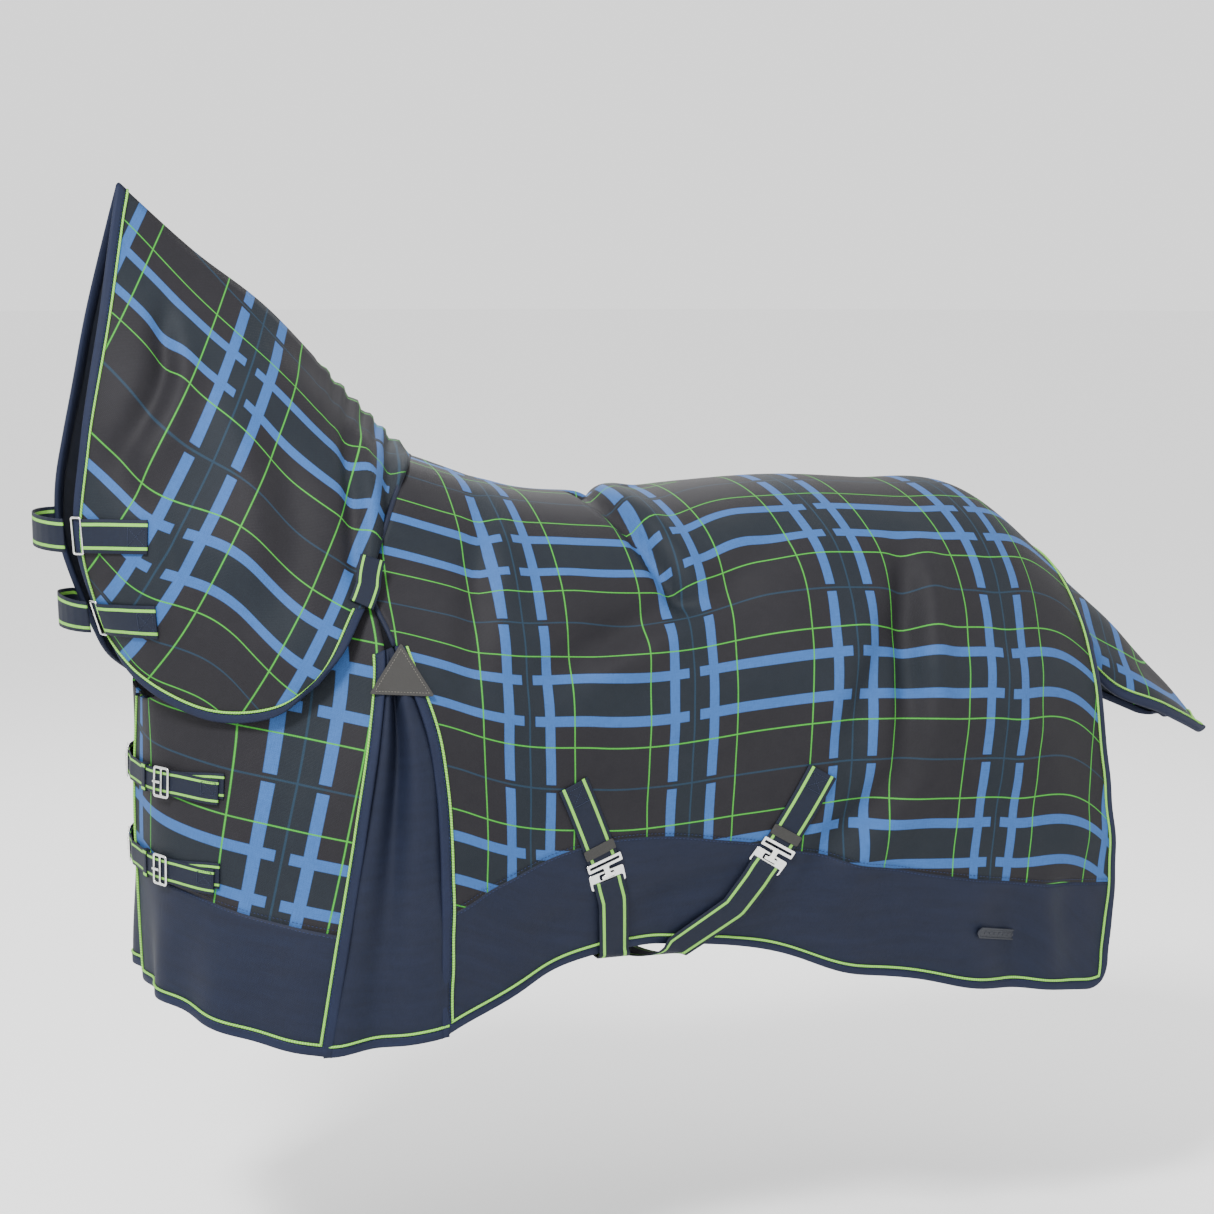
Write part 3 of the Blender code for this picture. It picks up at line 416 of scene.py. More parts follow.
def new_group(name, inputs, outputs):
    """A shader node group with the named inputs and outputs, and its tree's inner ends."""
    tree = bpy.data.node_groups.new(name, "ShaderNodeTree")
    for label, kind, value in inputs:
        socket = tree.interface.new_socket(label, in_out="INPUT", socket_type=kind)
        if value is not None:
            socket.default_value = value
    for label, kind in outputs:
        tree.interface.new_socket(label, in_out="OUTPUT", socket_type=kind)
    nodes = Nodes(tree)
    return tree, nodes, nodes.add("NodeGroupInput").outputs, nodes.add("NodeGroupOutput").inputs


# Twilled yarn: two sets of round threads pass over each other on the diagonal, with slubs along each; its
# Shade is painted shade where the threads dip, plus slub tone
weave, nodes, given, wanted = new_group(
    "weave", [("Vector", "NodeSocketVector", None), ("Threads", "NodeSocketFloat", 700.0)],
    [("Height", "NodeSocketFloat"), ("Shade", "NodeSocketFloat")])
place = nodes.add("ShaderNodeSeparateXYZ", {0: given["Vector"]}).outputs
across = nodes.math("MULTIPLY", place[0], given["Threads"])
along = nodes.math("MULTIPLY", place[1], given["Threads"])
warp = nodes.math("ABSOLUTE", nodes.math("SINE", nodes.math("MULTIPLY", across, math.pi)))
weft = nodes.math("ABSOLUTE", nodes.math("SINE", nodes.math("MULTIPLY", along, math.pi)))
over = nodes.math("SINE", nodes.math("MULTIPLY", nodes.math("ADD", across, along), math.pi / 2))
over = nodes.math("MULTIPLY_ADD", over, 0.5, 0.5)
height = nodes.math("MAXIMUM", nodes.math("MULTIPLY", warp, over),
                    nodes.math("MULTIPLY", weft, nodes.math("SUBTRACT", 1.0, over)))
slub = nodes.math("ADD", *[nodes.noise(nodes.squeezed(given["Vector"], factors), 1.0, 2.0)
                           for factors in ((60.0, 900.0, 1.0), (900.0, 60.0, 1.0))])
relief = nodes.math("MULTIPLY_ADD", slub, 0.35, nodes.math("MULTIPLY", height, 0.65))
weave.links.new(relief, wanted["Height"])
# painted shade: darker where the weave's height is low between threads, plus lighter and darker slubs
shade = nodes.math("MULTIPLY_ADD", height, 0.30, nodes.math("MULTIPLY", slub, 0.45))
weave.links.new(nodes.math("ADD", shade, 0.38), wanted["Shade"])

# Wear: faint dusty blotches and rubbed patches, from two sizes of noise
wear, nodes, given, wanted = new_group(
    "wear", [("Vector", "NodeSocketVector", None), ("Color", "NodeSocketColor", (0.1, 0.1, 0.1, 1)),
             ("Amount", "NodeSocketFloat", 0.2)], [("Color", "NodeSocketColor"), ("Mask", "NodeSocketFloat")])
broad = nodes.noise(given["Vector"], 5.0, 4.0)
fine = nodes.noise(given["Vector"], 45.0, 3.0)
mask = nodes.math("MULTIPLY", nodes.math("MULTIPLY_ADD", broad, 0.6, nodes.math("MULTIPLY", fine, 0.4)),
                  given["Amount"])
dusty = nodes.mix(mask, given["Color"], paint("#8d8c88"))
wear.links.new(dusty, wanted["Color"])
wear.links.new(mask, wanted["Mask"])


CLOTH_GLOSS = 0.15        # dyed yarn shines less than a bare plastic


def woven(name, colour_of, threads, roughness, relief, wearing):
    """Cloth or tape: its colour on its chart, shaded yarn by yarn, with wear and a woven relief."""
    made = bpy.data.materials.new(name)
    made.use_nodes = True
    nodes = Nodes(made.node_tree)
    chart = nodes.add("ShaderNodeUVMap", uv_map="cloth").outputs[0]
    yarn = nodes.add("ShaderNodeGroup", node_tree=weave)
    made.node_tree.links.new(chart, yarn.inputs["Vector"])
    yarn.inputs["Threads"].default_value = threads
    # the weave's painted groove shade and slub tone, multiplied into the colour below
    shade = yarn.outputs["Shade"]
    grey = nodes.add("ShaderNodeCombineColor", {0: shade, 1: shade, 2: shade}).outputs[0]
    shaded = nodes.add("ShaderNodeMix", {0: 1.0, 6: colour_of(nodes, chart), 7: grey},
                       data_type="RGBA", blend_type="MULTIPLY").outputs[2]
    where = nodes.add("ShaderNodeTexCoord").outputs["Object"]
    worn = nodes.add("ShaderNodeGroup", node_tree=wear)
    made.node_tree.links.new(where, worn.inputs["Vector"])
    made.node_tree.links.new(shaded, worn.inputs["Color"])
    worn.inputs["Amount"].default_value = wearing
    rough = nodes.math("MULTIPLY_ADD", worn.outputs["Mask"], 0.5, roughness)
    shader = nodes.surface(worn.outputs["Color"], rough, yarn.outputs["Height"], 0.6, relief)
    shader.inputs["Specular IOR Level"].default_value = CLOTH_GLOSS
    return made


CHECK = 0.2685            # repeat of the check
STRIPE_OUT, STRIPE_HALF = 0.0325, 0.0077
LINE_OUT, LINE_HALF = 0.072, 0.0010


def check_colours(nodes, chart):
    """Window-pane check: pairs of blue stripes each way, fine green lines beside them.

    The stripes across break where they meet the middle of a pair down, and those down break
    midway between the pairs across.
    """
    ends = nodes.add("ShaderNodeSeparateXYZ", {0: chart}).outputs
    from_pair = [nodes.math("ABSOLUTE", nodes.math("WRAP", end, CHECK / 2, -CHECK / 2)) for end in ends[:2]]
    stripes = [nodes.band(nodes.math("ABSOLUTE", nodes.math("SUBTRACT", each, STRIPE_OUT)), STRIPE_HALF)
               for each in from_pair]
    lines = [nodes.band(nodes.math("ABSOLUTE", nodes.math("SUBTRACT", each, LINE_OUT)), LINE_HALF)
             for each in from_pair]
    inside = nodes.math("MAXIMUM", *[nodes.band(each, STRIPE_OUT) for each in from_pair])
    faint = nodes.math("MAXIMUM", nodes.band(from_pair[0], 0.0014),
                       nodes.band(nodes.math("SUBTRACT", CHECK / 2, from_pair[1]), 0.0014))
    gap_across = nodes.band(from_pair[0], 0.009)
    gap_down = nodes.band(nodes.math("SUBTRACT", CHECK / 2, from_pair[1]), 0.006)
    broken_across = nodes.math("MULTIPLY", stripes[1], nodes.math("SUBTRACT", 1.0, gap_across))
    broken_down = nodes.math("MULTIPLY", stripes[0], nodes.math("SUBTRACT", 1.0, gap_down))
    blue = nodes.math("MAXIMUM", broken_across, broken_down)
    colour = nodes.mix(inside, paint("#16151a"), paint("#10171f"))
    colour = nodes.mix(nodes.math("MULTIPLY", faint, 0.6), colour, paint("#163246"))
    colour = nodes.mix(blue, colour, paint("#2c5389"))
    return nodes.mix(nodes.math("MAXIMUM", *lines), colour, paint("#37902a"))


def one_colour(code, streak):
    """A plain dyed cloth, lighter and darker in long faint streaks."""
    def colours(nodes, chart):
        streaks = nodes.noise(nodes.squeezed(chart, (9.0, 70.0, 1.0)), 1.0, 3.0)
        return nodes.mix(streaks, paint(code), paint(streak))
    return colours


checked_cloth = woven("checked_cloth", check_colours, 620.0, 0.62, 0.0004, 0.030)
navy_cloth = woven("navy_cloth", one_colour("#0d1221", "#141b2f"), 620.0, 0.60, 0.0004, 0.020)
lining_cloth = woven("lining_cloth", one_colour("#15181f", "#1f232e"), 1100.0, 0.42, 0.0001, 0.02)


def body_chart(place, s, t):
    x = place[..., 0]
    down = arc_lengths(body_surface, s, t)
    back = (x + 0.03 * (1 - smooth(down / 0.3)) * smooth(s / 0.5)
            + 0.075 * smooth((t - 0.38) / 0.5) * s**1.3 - 0.095)
    down = (down + 0.09 * smooth((x - 0.88) / 0.2) - 0.03 * (1 - smooth(x / 0.2))
            - 0.045 * (1 - smooth((x - 0.33) / 0.17)) * (1 - smooth((down - 0.2) / 0.25)) - 0.187)
    return np.stack([back, down], -1)


EDGE_IN = 0.0018         # cut edge of the cloth, inside the fold of its binding


def rounded(surface, corner_u, corner_v, radius):
    """The surface with one corner of its patch rounded off.

    Within the radius, the square of distances to the two edges is pressed into a quarter disc.
    """
    step = 1e-3
    to_u, to_v = (1 - 2 * corner_u) * step, (1 - 2 * corner_v) * step
    corner = surface(corner_u, corner_v)
    scale_u = np.linalg.norm(surface(corner_u + to_u, corner_v) - corner) / step / radius
    scale_v = np.linalg.norm(surface(corner_u, corner_v + to_v) - corner) / step / radius

    def softened(u, v):
        u, v = np.broadcast_arrays(np.asarray(u, float), np.asarray(v, float))
        a = np.clip(1 - np.abs(u - corner_u) * scale_u, 0, 1)
        b = np.clip(1 - np.abs(v - corner_v) * scale_v, 0, 1)
        near = (a > 0) & (b > 0)
        new_a, new_b = a * np.sqrt(1 - b * b / 2), b * np.sqrt(1 - a * a / 2)
        new_u = corner_u + (1 - 2 * corner_u) * (1 - new_a) / scale_u
        new_v = corner_v + (1 - 2 * corner_v) * (1 - new_b) / scale_v
        return surface(np.where(near, new_u, u), np.where(near, new_v, v))
    return softened


rug_shape = rounded(body_surface, 1, 1, 0.050)


def body_grid(columns, rows, top, bottom):
    """s and t of a grid over one side, between the t that top and bottom give at each s."""
    s = np.linspace(EDGE_IN / BACK_LENGTH, 1 - EDGE_IN / BACK_LENGTH, columns)
    share = np.linspace(0, 1, rows)
    t = top(s)[:, None] + (bottom(s) - top(s))[:, None] * share
    return np.broadcast_to(s[:, None], t.shape), t


def band_line(s):
    """The t of the seam between the checked cloth and the plain band."""
    return rise_from_hem(body_surface, s, BAND)


def both_sides(s, t):
    """The off side's grid, with the near side's mirror of it before it."""
    side = np.concatenate([np.full_like(t[:, :0:-1], NEAR), np.full_like(t, OFF)], axis=1)
    return np.concatenate([s[:, :0:-1], s], axis=1), np.concatenate([t[:, :0:-1], t], axis=1), side


s, t = body_grid(136, 84, lambda s: 0 * s, band_line)
chart = body_chart(body_surface(s, t), s, t)
s, t, side = both_sides(s, t)
chart = np.concatenate([chart[:, :0:-1], chart], axis=1)
(low, high), _ = lay(rug_shape, body_ruck, s, t, side, OUTER_LOW, OUTER_FACE)
rug_cloth = fit(sheet("rug_cloth", low, high, chart, checked_cloth), "rug", "checked_cloth",
                "rug_panel_left", "rug_panel_right")

for side, word in ((NEAR, "left"), (OFF, "right")):
    s, t = body_grid(136, 22, band_line, lambda s: rise_from_hem(body_surface, s, EDGE_IN))
    chart = np.stack([body_surface(s, t)[..., 0], arc_lengths(body_surface, s, t)], -1)
    (low, high), _ = lay(rug_shape, body_ruck, s, t, side, OUTER_LOW, OUTER_FACE)
    band = fit(sheet(f"rug_band_{word}", low, high, chart, navy_cloth), "rug", "navy_cloth",
               f"lower_band_{word}")

s, t = body_grid(100, 70, lambda s: 0 * s, lambda s: rise_from_hem(body_surface, s, EDGE_IN))
chart = np.stack([body_surface(s, t)[..., 0], arc_lengths(body_surface, s, t)], -1)
s, t, side = both_sides(s, t)
chart = np.concatenate([chart[:, :0:-1], chart], axis=1)
(low, high), _ = lay(rug_shape, body_ruck, s, t, side, 0.0, LINING_THICK)
lining = fit(sheet("rug_inner_lining", low, high, chart, lining_cloth), "rug", "lining_cloth",
             "rug_lining_left", "rug_lining_right")

# ---------------------------------------------------------------- edge bindings of the rug
# Navy tape is folded over each cut edge and stitched through the cloth. A twisted lime piping
# cord is caught under the tape's inner edge on the outside.

TAPE_TOP = OUTER_FACE + 0.0012
TAPE_FOLD = np.array([    # in from the edge and height, round the folded tape
    (0.0160, TAPE_TOP - 0.0002), (0.0100, TAPE_TOP), (0.0040, TAPE_TOP), (0.0012, TAPE_TOP - 0.0004),
    (0.0000, OUTER_FACE - 0.0016), (0.0000, 0.0016), (0.0012, -0.0006), (0.0040, -0.0010), (0.0155, -0.0008),
    (0.0155, -0.0001), (0.0018, -0.0001), (0.0010, 0.0020), (0.0010, OUTER_FACE - 0.0020),
    (0.0020, OUTER_FACE + 0.0002), (0.0160, OUTER_FACE + 0.0002),
])
PIPING_IN, PIPING_RADIUS, STITCH_IN = 0.0178, 0.0020, 0.0135
ROUND_TURN = np.linspace(0, 2 * math.pi, 9)[:-1]
PIPING_ROUND = np.stack([PIPING_IN + PIPING_RADIUS * np.cos(ROUND_TURN),
                         OUTER_FACE + 0.0011 + PIPING_RADIUS * np.sin(ROUND_TURN)], 1)


def sweep(name, rings, chart, finish, closed=False):
    """A tube through rings of points, with flat ends unless it closes on itself."""
    index = np.arange(rings.shape[0] * rings.shape[1]).reshape(rings.shape[:2])
    after = np.roll(index, -1, axis=1)
    rows = [(index[:-1], index[1:], after[1:], after[:-1])]
    if closed:
        rows.append((index[-1:], index[:1], after[:1], after[-1:]))
    faces = np.concatenate([np.stack(row, -1).reshape(-1, 4) for row in rows]).tolist()
    ends = [] if closed else [index[0].tolist(), index[-1][::-1].tolist()]
    return make(name, rings, faces + ends, chart, finish, len(ends))


def edge_line(surface, inset, counts, start, end):
    """u and v at an inset from the free edges: down the front from v = start, along the hem, and up
    the rear to v = end. None leaves that edge out. The inset turns to shares by each edge's own scale."""
    step = 1e-3

    def share(a, b):
        return step / np.linalg.norm(a - b, axis=-1)

    def front_in(v):
        return inset * share(surface(step, v), surface(0.0, v)) * (start is not None)

    def rear_in(v):
        return inset * share(surface(1 - step, v), surface(1.0, v)) * (end is not None)

    def hem(u):
        return 1 - inset * share(surface(u, 1 - step), surface(u, 1.0))

    first, last = front_in(np.array([1.0]))[0], 1 - rear_in(np.array([1.0]))[0]
    u = np.linspace(first, last, counts[1])
    line = [np.stack([u, hem(u)], 1)]
    if start is not None:
        v = np.linspace(start, line[0][0, 1], counts[0])[:-1]
        line.insert(0, np.stack([front_in(v), v], 1))
    if end is not None:
        v = np.linspace(line[-1][-1, 1], end, counts[2])[1:]
        line.append(np.stack([1 - rear_in(v), v], 1))
    return np.concatenate(line).T


def trim(name, surface, ruck, side, counts, start, end, body, nodes=()):
    """Tape, piping and stitching along the free edges of one side of a cloth."""
    def carried(outline):
        rings = []
        for inset, lift in outline:
            u, v = edge_line(surface, inset, counts, start, end)
            rings.append(lay(surface, ruck, u, v, side, lift)[0][0])
        return np.stack(rings, 1)

    tape_rings, piping_rings = carried(TAPE_FOLD), carried(PIPING_ROUND)
    reach, wide = reaches(tape_rings[:, 1]), reaches(TAPE_FOLD)
    chart = np.stack(np.broadcast_arrays(reach[:, None], wide[None, :]), -1)
    fit(sweep(f"{name}_tape", tape_rings, chart, binding_tape), body, "binding_tape", *nodes)
    chart = np.stack(np.broadcast_arrays(reach[:, None], ROUND_TURN[None, :] * PIPING_RADIUS), -1)
    fit(sweep(f"{name}_piping", piping_rings, chart, lime_cord), body, "binding_tape")
    u, v = edge_line(surface, STITCH_IN, counts, start, end)
    (line,), normals = lay(surface, ruck, u, v, side, TAPE_TOP + 0.0001)
    fit(stitches(f"{name}_stitching", line, normals), body, "binding_tape")


def stitches(name, line, normals, pitch=0.0060, long=0.0038, radius=0.00045, finish=None):
    """A row of thread stitches along a line, each a spindle with a square middle."""
    reach = reaches(line)
    at = np.arange(pitch / 2, reach[-1], pitch)

    def read(values, place):
        return np.stack([np.interp(place, reach, values[:, k]) for k in range(3)], -1)

    middle, out = read(line, at), read(normals, at)
    along = unit(read(line, at + 1e-3) - read(line, at - 1e-3))
    across = np.cross(out, along)
    shape = np.array([(-0.5, 0, 0), (-0.3, 1, 0), (-0.3, 0, 1), (-0.3, -1, 0), (-0.3, 0, -1),
                      (0.3, 1, 0), (0.3, 0, 1), (0.3, -1, 0), (0.3, 0, -1), (0.5, 0, 0)])
    points = (middle[:, None] + along[:, None] * (shape[:, :1] * long)
              + across[:, None] * (shape[:, 1:2] * radius) + out[:, None] * (shape[:, 2:] * radius))
    quads = np.array([(1 + k, 1 + (k + 1) % 4, 5 + (k + 1) % 4, 5 + k) for k in range(4)])
    tips = np.array([(0, 1 + (k + 1) % 4, 1 + k) for k in range(4)]
                    + [(9, 5 + k, 5 + (k + 1) % 4) for k in range(4)])
    base = np.arange(len(at))[:, None, None] * len(shape)
    faces = (quads + base).reshape(-1, 4).tolist() + (tips + base).reshape(-1, 3).tolist()
    chart = np.stack(np.broadcast_arrays(at[:, None] + shape[None, :, 0] * long,
                                         shape[None, :, 1] * radius), -1)
    return make(name, points, faces, chart, finish or navy_thread)


def cord_colours(code, groove_shade):
    """A twisted cord: plies run round it on the slant, with a painted highlight on their crowns and painted
    shade in the grooves between them.
    """
    def colours(nodes, chart):
        ends = nodes.add("ShaderNodeSeparateXYZ", {0: chart}).outputs
        slant = nodes.math("MULTIPLY_ADD", ends[0], 1 / 0.0042, nodes.math("MULTIPLY", ends[1], 1 / 0.0062))
        ply = nodes.math("ABSOLUTE", nodes.math("SINE", nodes.math("MULTIPLY", slant, math.pi)))
        # painted highlight on each ply's crown, painted shade in the grooves between plies
        return nodes.mix(nodes.math("POWER", ply, 0.6), paint(groove_shade), paint(code))
    return colours


binding_tape = woven("binding_tape", one_colour("#0e1426", "#182038"), 560.0, 0.66, 0.0003, 0.02)
lime_cord = woven("lime_cord", cord_colours("#86c452", "#37701f"), 900.0, 0.60, 0.0003, 0.02)
navy_thread = woven("navy_thread", one_colour("#1d2644", "#2a3558"), 1500.0, 0.55, 0.0001, 0.02)

for side, word in ((NEAR, "left"), (OFF, "right")):
    trim(f"rug_edge_{word}", rug_shape, body_ruck, side, (58, 170, 130), APEX_SHARE, 0.0, "rug",
         nodes=(f"rug_binding_{word}",))
    s = np.linspace(0.003, 0.997, 150)
    t = band_line(s)
    for number, shift in enumerate((-0.004, 0.003)):
        (line,), normals = lay(rug_shape, body_ruck, s, t + shift, side, OUTER_FACE + 0.0002)
        fit(stitches(f"band_seam_{word}_{number}", line, normals), "rug", "navy_cloth")

# ---------------------------------------------------------------- shoulder seam
# The neck cover, the chest panels and the rug are felled together along the shoulder line. The
# rolled seam shows as a ridge from one gusset over the withers to the other.

SEAM_RADIUS = 0.0030
t = np.linspace(-APEX_SHARE, APEX_SHARE, 121)
side = np.where(t < 0, NEAR, OFF)
(line,), normals = lay(rug_shape, body_ruck, 0 * t, np.abs(t), side, OUTER_FACE - 0.0012)
along = np.gradient(line, axis=0)
across = unit(np.cross(normals, along))
rings = (line[:, None] + across[:, None] * (1.3 * SEAM_RADIUS * np.cos(ROUND_TURN))[:, None]
         + normals[:, None] * (SEAM_RADIUS * np.sin(ROUND_TURN))[:, None])
chart = np.stack(np.broadcast_arrays(np.arange(len(t))[:, None] * 0.008, ROUND_TURN[None] * SEAM_RADIUS), -1)
fit(sweep("shoulder_seam", rings, chart, navy_cloth), "rug", "navy_cloth")

# ---------------------------------------------------------------- shoulder gussets
# A pleated wedge of plain navy cloth lets the horse's shoulder swing. Its sides are sewn under
# the bound edges of the chest panel and the rug, and a leather patch covers its top.

CHEST_APEX_SHARE = 0.20
GUSSET_TUCK = 0.07        # share of its width that passes under each neighbour
PATCH_CORNERS = ((-0.141, -0.318), (-0.053, -0.324), (-0.096, -0.247))
PATCH_LIFT = OUTER_FACE + 0.0058


def chest_rear(v):
    """Shoulder seam down to the gusset's top, then the gusset's front edge to the hem."""
    return through([(-0.127, 0.238, -0.166), (-0.116, 0.283, -0.255), (-0.130, 0.308, -0.370),
                    (-0.155, 0.318, -0.510), (-0.183, 0.318, -0.670), (-0.212, 0.308, -0.852)], v)


def gusset_surface(u, v):
    """Straight across between the chest's rear edge and the rug's front edge, and on under both."""
    u, v = np.broadcast_arrays(np.asarray(u, float), np.asarray(v, float))
    front = chest_rear(CHEST_APEX_SHARE + (1 - CHEST_APEX_SHARE) * v)
    rear = body_surface(0 * v, APEX_SHARE + (1 - APEX_SHARE) * v)
    return front + (rear - front) * (-GUSSET_TUCK + (1 + 2 * GUSSET_TUCK) * u)[..., None]


def gusset_ruck(place, u, v, side):
    """Sides tucked under, one box pleat that widens and dies down towards the hem, and soft waves."""
    sides = np.exp(-(u / 0.08)**2) + np.exp(-((1 - u) / 0.08)**2)
    deep = np.exp(-((u - 0.40) / (0.10 + 0.08 * v))**2)
    ridge = np.exp(-((u - 0.70) / 0.16)**2)
    pleats = smooth(v / 0.25) * (1 - 0.5 * smooth((v - 0.3) / 0.7)) * (0.005 * ridge - 0.024 * deep)
    return -0.0065 * np.minimum(sides, 1) + pleats + waves(place[..., 0], place[..., 2], 31, 0.12, 0.0008)


for side, word in ((NEAR, "left"), (OFF, "right")):
    u, v = np.meshgrid(np.linspace(0, 1, 46), np.linspace(0, 1 - EDGE_IN / 0.6, 90), indexing="ij")
    chart = np.stack([u * 0.16, arc_lengths(gusset_surface, u, v)], -1)
    (low, high), _ = lay(gusset_surface, gusset_ruck, u, v, side, 0.0, CLOTH_THICK)
    gusset = fit(sheet(f"gusset_{word}", low, high, chart, navy_cloth), "rug", "navy_cloth",
                 f"shoulder_gusset_{word}")
    trim(f"gusset_hem_{word}", gusset_surface, lambda *given: gusset_ruck(*given) - 0.0024, side, (2, 60, 2),
         None, None, "rug")


def locate(surface, x, z):
    """u and v of the point of a surface that has the given X and Z, by Newton's steps."""
    u, v = 0.5, 0.5
    step = 1e-4
    for _ in range(40):
        here = surface(u, v)[[0, 2]]
        du = (surface(u + step, v)[[0, 2]] - here) / step
        dv = (surface(u, v + step)[[0, 2]] - here) / step
        move = np.linalg.solve(np.stack([du, dv], 1), np.array([x, z]) - here)
        u = float(np.clip(u + np.clip(move[0], -0.1, 0.1), 0, 0.999))
        v = float(np.clip(v + np.clip(move[1], -0.1, 0.1), 0, 0.999))
    return u, v


def still(place, u, v, side):
    """No folds."""
    return np.zeros(np.shape(place)[:-1])


def cut(name, outline, holes, thickness, place, finish, edge=0.0005):
    """A flat piece with rounded edges on the plane Z = 0 of place: closed outlines, raised upwards."""
    curve = bpy.data.curves.new(name, "CURVE")
    curve.dimensions = "2D"
    curve.fill_mode = "BOTH"
    curve.extrude = thickness / 2 - edge
    curve.bevel_depth = edge
    curve.bevel_resolution = 2
    curve.offset = -edge
    for ring in [outline, *holes]:
        spline = curve.splines.new("POLY")
        spline.points.add(len(ring) - 1)
        for point, (x, y) in zip(spline.points, ring):
            point.co = (x, y, 0, 1)
        spline.use_cyclic_u = True
    guide = bpy.data.objects.new(name, curve)
    bpy.context.scene.collection.objects.link(guide)
    bpy.context.view_layer.update()
    mesh = bpy.data.meshes.new_from_object(guide.evaluated_get(bpy.context.evaluated_depsgraph_get()))
    bpy.data.objects.remove(guide, do_unlink=True)
    flat = np.empty(len(mesh.vertices) * 3, np.float32)
    mesh.vertices.foreach_get("co", flat)
    layer = mesh.uv_layers.new(name="cloth") if "cloth" not in mesh.uv_layers else mesh.uv_layers["cloth"]
    corners = np.empty(len(mesh.loops), np.int32)
    mesh.loops.foreach_get("vertex_index", corners)
    layer.data.foreach_set("uv", np.ascontiguousarray(flat.reshape(-1, 3)[corners, :2]).ravel())
    mesh.transform(place @ Matrix.Translation((0, 0, thickness / 2)))
    mesh.materials.clear()
    mesh.materials.append(finish)
    mesh.name = name
    made = bpy.data.objects.new(name, mesh)
    bpy.context.scene.collection.objects.link(made)
    return made


def rounded_outline(corners, radius, steps=6):
    """Corner points with each corner turned into an arc of the given radius."""
    points = []
    corners = np.asarray(corners, float)
    for before, here, after in zip(np.roll(corners, 1, axis=0), corners, np.roll(corners, -1, axis=0)):
        back, on = unit(before - here), unit(after - here)
        half = math.acos(np.clip(back @ on, -1, 1)) / 2
        reach = radius / math.tan(half)
        start, end = here + back * reach, here + on * reach
        share = np.linspace(0, 1, steps + 1)[:, None]
        points.append((1 - share)**2 * start + 2 * share * (1 - share) * here + share**2 * end)
    return [tuple(point) for point in np.concatenate(points)]


def box_outline(low, high, width, radius, steps=5):
    """A rounded box from low to high in X, as wide as given in Y."""
    corners = [(low, -width / 2), (high, -width / 2), (high, width / 2), (low, width / 2)]
    return rounded_outline(corners, radius, steps)


def grain(name, code, crown_highlight, roughness, scale):
    """Pebbled leather or moulded rubber: cells with creases between, with a painted highlight on their crowns
    and painted shade in the creases, mixed with random blotches.
    """
    made = bpy.data.materials.new(name)
    made.use_nodes = True
    nodes = Nodes(made.node_tree)
    where = nodes.add("ShaderNodeTexCoord").outputs["Object"]
    cells = nodes.add("ShaderNodeTexVoronoi", {"Vector": where, "Scale": scale}, feature="DISTANCE_TO_EDGE")
    crown = nodes.math("MINIMUM", nodes.math("MULTIPLY", cells.outputs["Distance"], 3.0), 1.0)
    blotch = nodes.noise(where, 60.0, 4.0)
    # painted highlight on the cell crowns and painted shade in the creases, plus random blotches of tone
    colour = nodes.mix(nodes.math("MULTIPLY_ADD", crown, 0.5, nodes.math("MULTIPLY", blotch, 0.5)),
                       paint(code), paint(crown_highlight))
    worn = nodes.add("ShaderNodeGroup", node_tree=wear)
    made.node_tree.links.new(where, worn.inputs["Vector"])
    made.node_tree.links.new(colour, worn.inputs["Color"])
    worn.inputs["Amount"].default_value = 0.012
    rough = nodes.math("MULTIPLY_ADD", blotch, 0.2, roughness)
    nodes.surface(worn.outputs["Color"], rough, crown, 0.5, 0.0003)
    return made


grey_thread = woven("grey_thread", one_colour("#5b5852", "#74716a"), 1500.0, 0.55, 0.0001, 0.05)
grey_leather = grain("grey_leather", "#141312", "#252320", 0.55, 900.0)


def coons(top, bottom, front, rear):
    """The surface spanned by four edge curves: u runs front to rear, v runs top to bottom."""
    def surface(u, v):
        u, v = np.broadcast_arrays(np.asarray(u, float), np.asarray(v, float))
        a, b = u[..., None], v[..., None]
        sides = (1 - b) * top(u) + b * bottom(u) + (1 - a) * front(v) + a * rear(v)
        corners = ((1 - a) * (1 - b) * top(0.0) + a * (1 - b) * top(1.0)
                   + (1 - a) * b * bottom(0.0) + a * b * bottom(1.0))
        return sides - corners
    return surface


plain_chest = coons(
    lambda u: through([(-0.425, 0, -0.350), (-0.416, 0.095, -0.335), (-0.345, 0.170, -0.285),
                       (-0.225, 0.212, -0.215), (-0.127, 0.238, -0.166)], u),
    lambda u: through([(-0.425, 0, -0.795), (-0.412, 0.130, -0.798), (-0.335, 0.242, -0.826),
                       (-0.212, 0.308, -0.852)], u),
    lambda v: through([(-0.425, 0, -0.350), (-0.432, 0, -0.500), (-0.430, 0, -0.650),
                       (-0.425, 0, -0.795)], v),
    chest_rear)

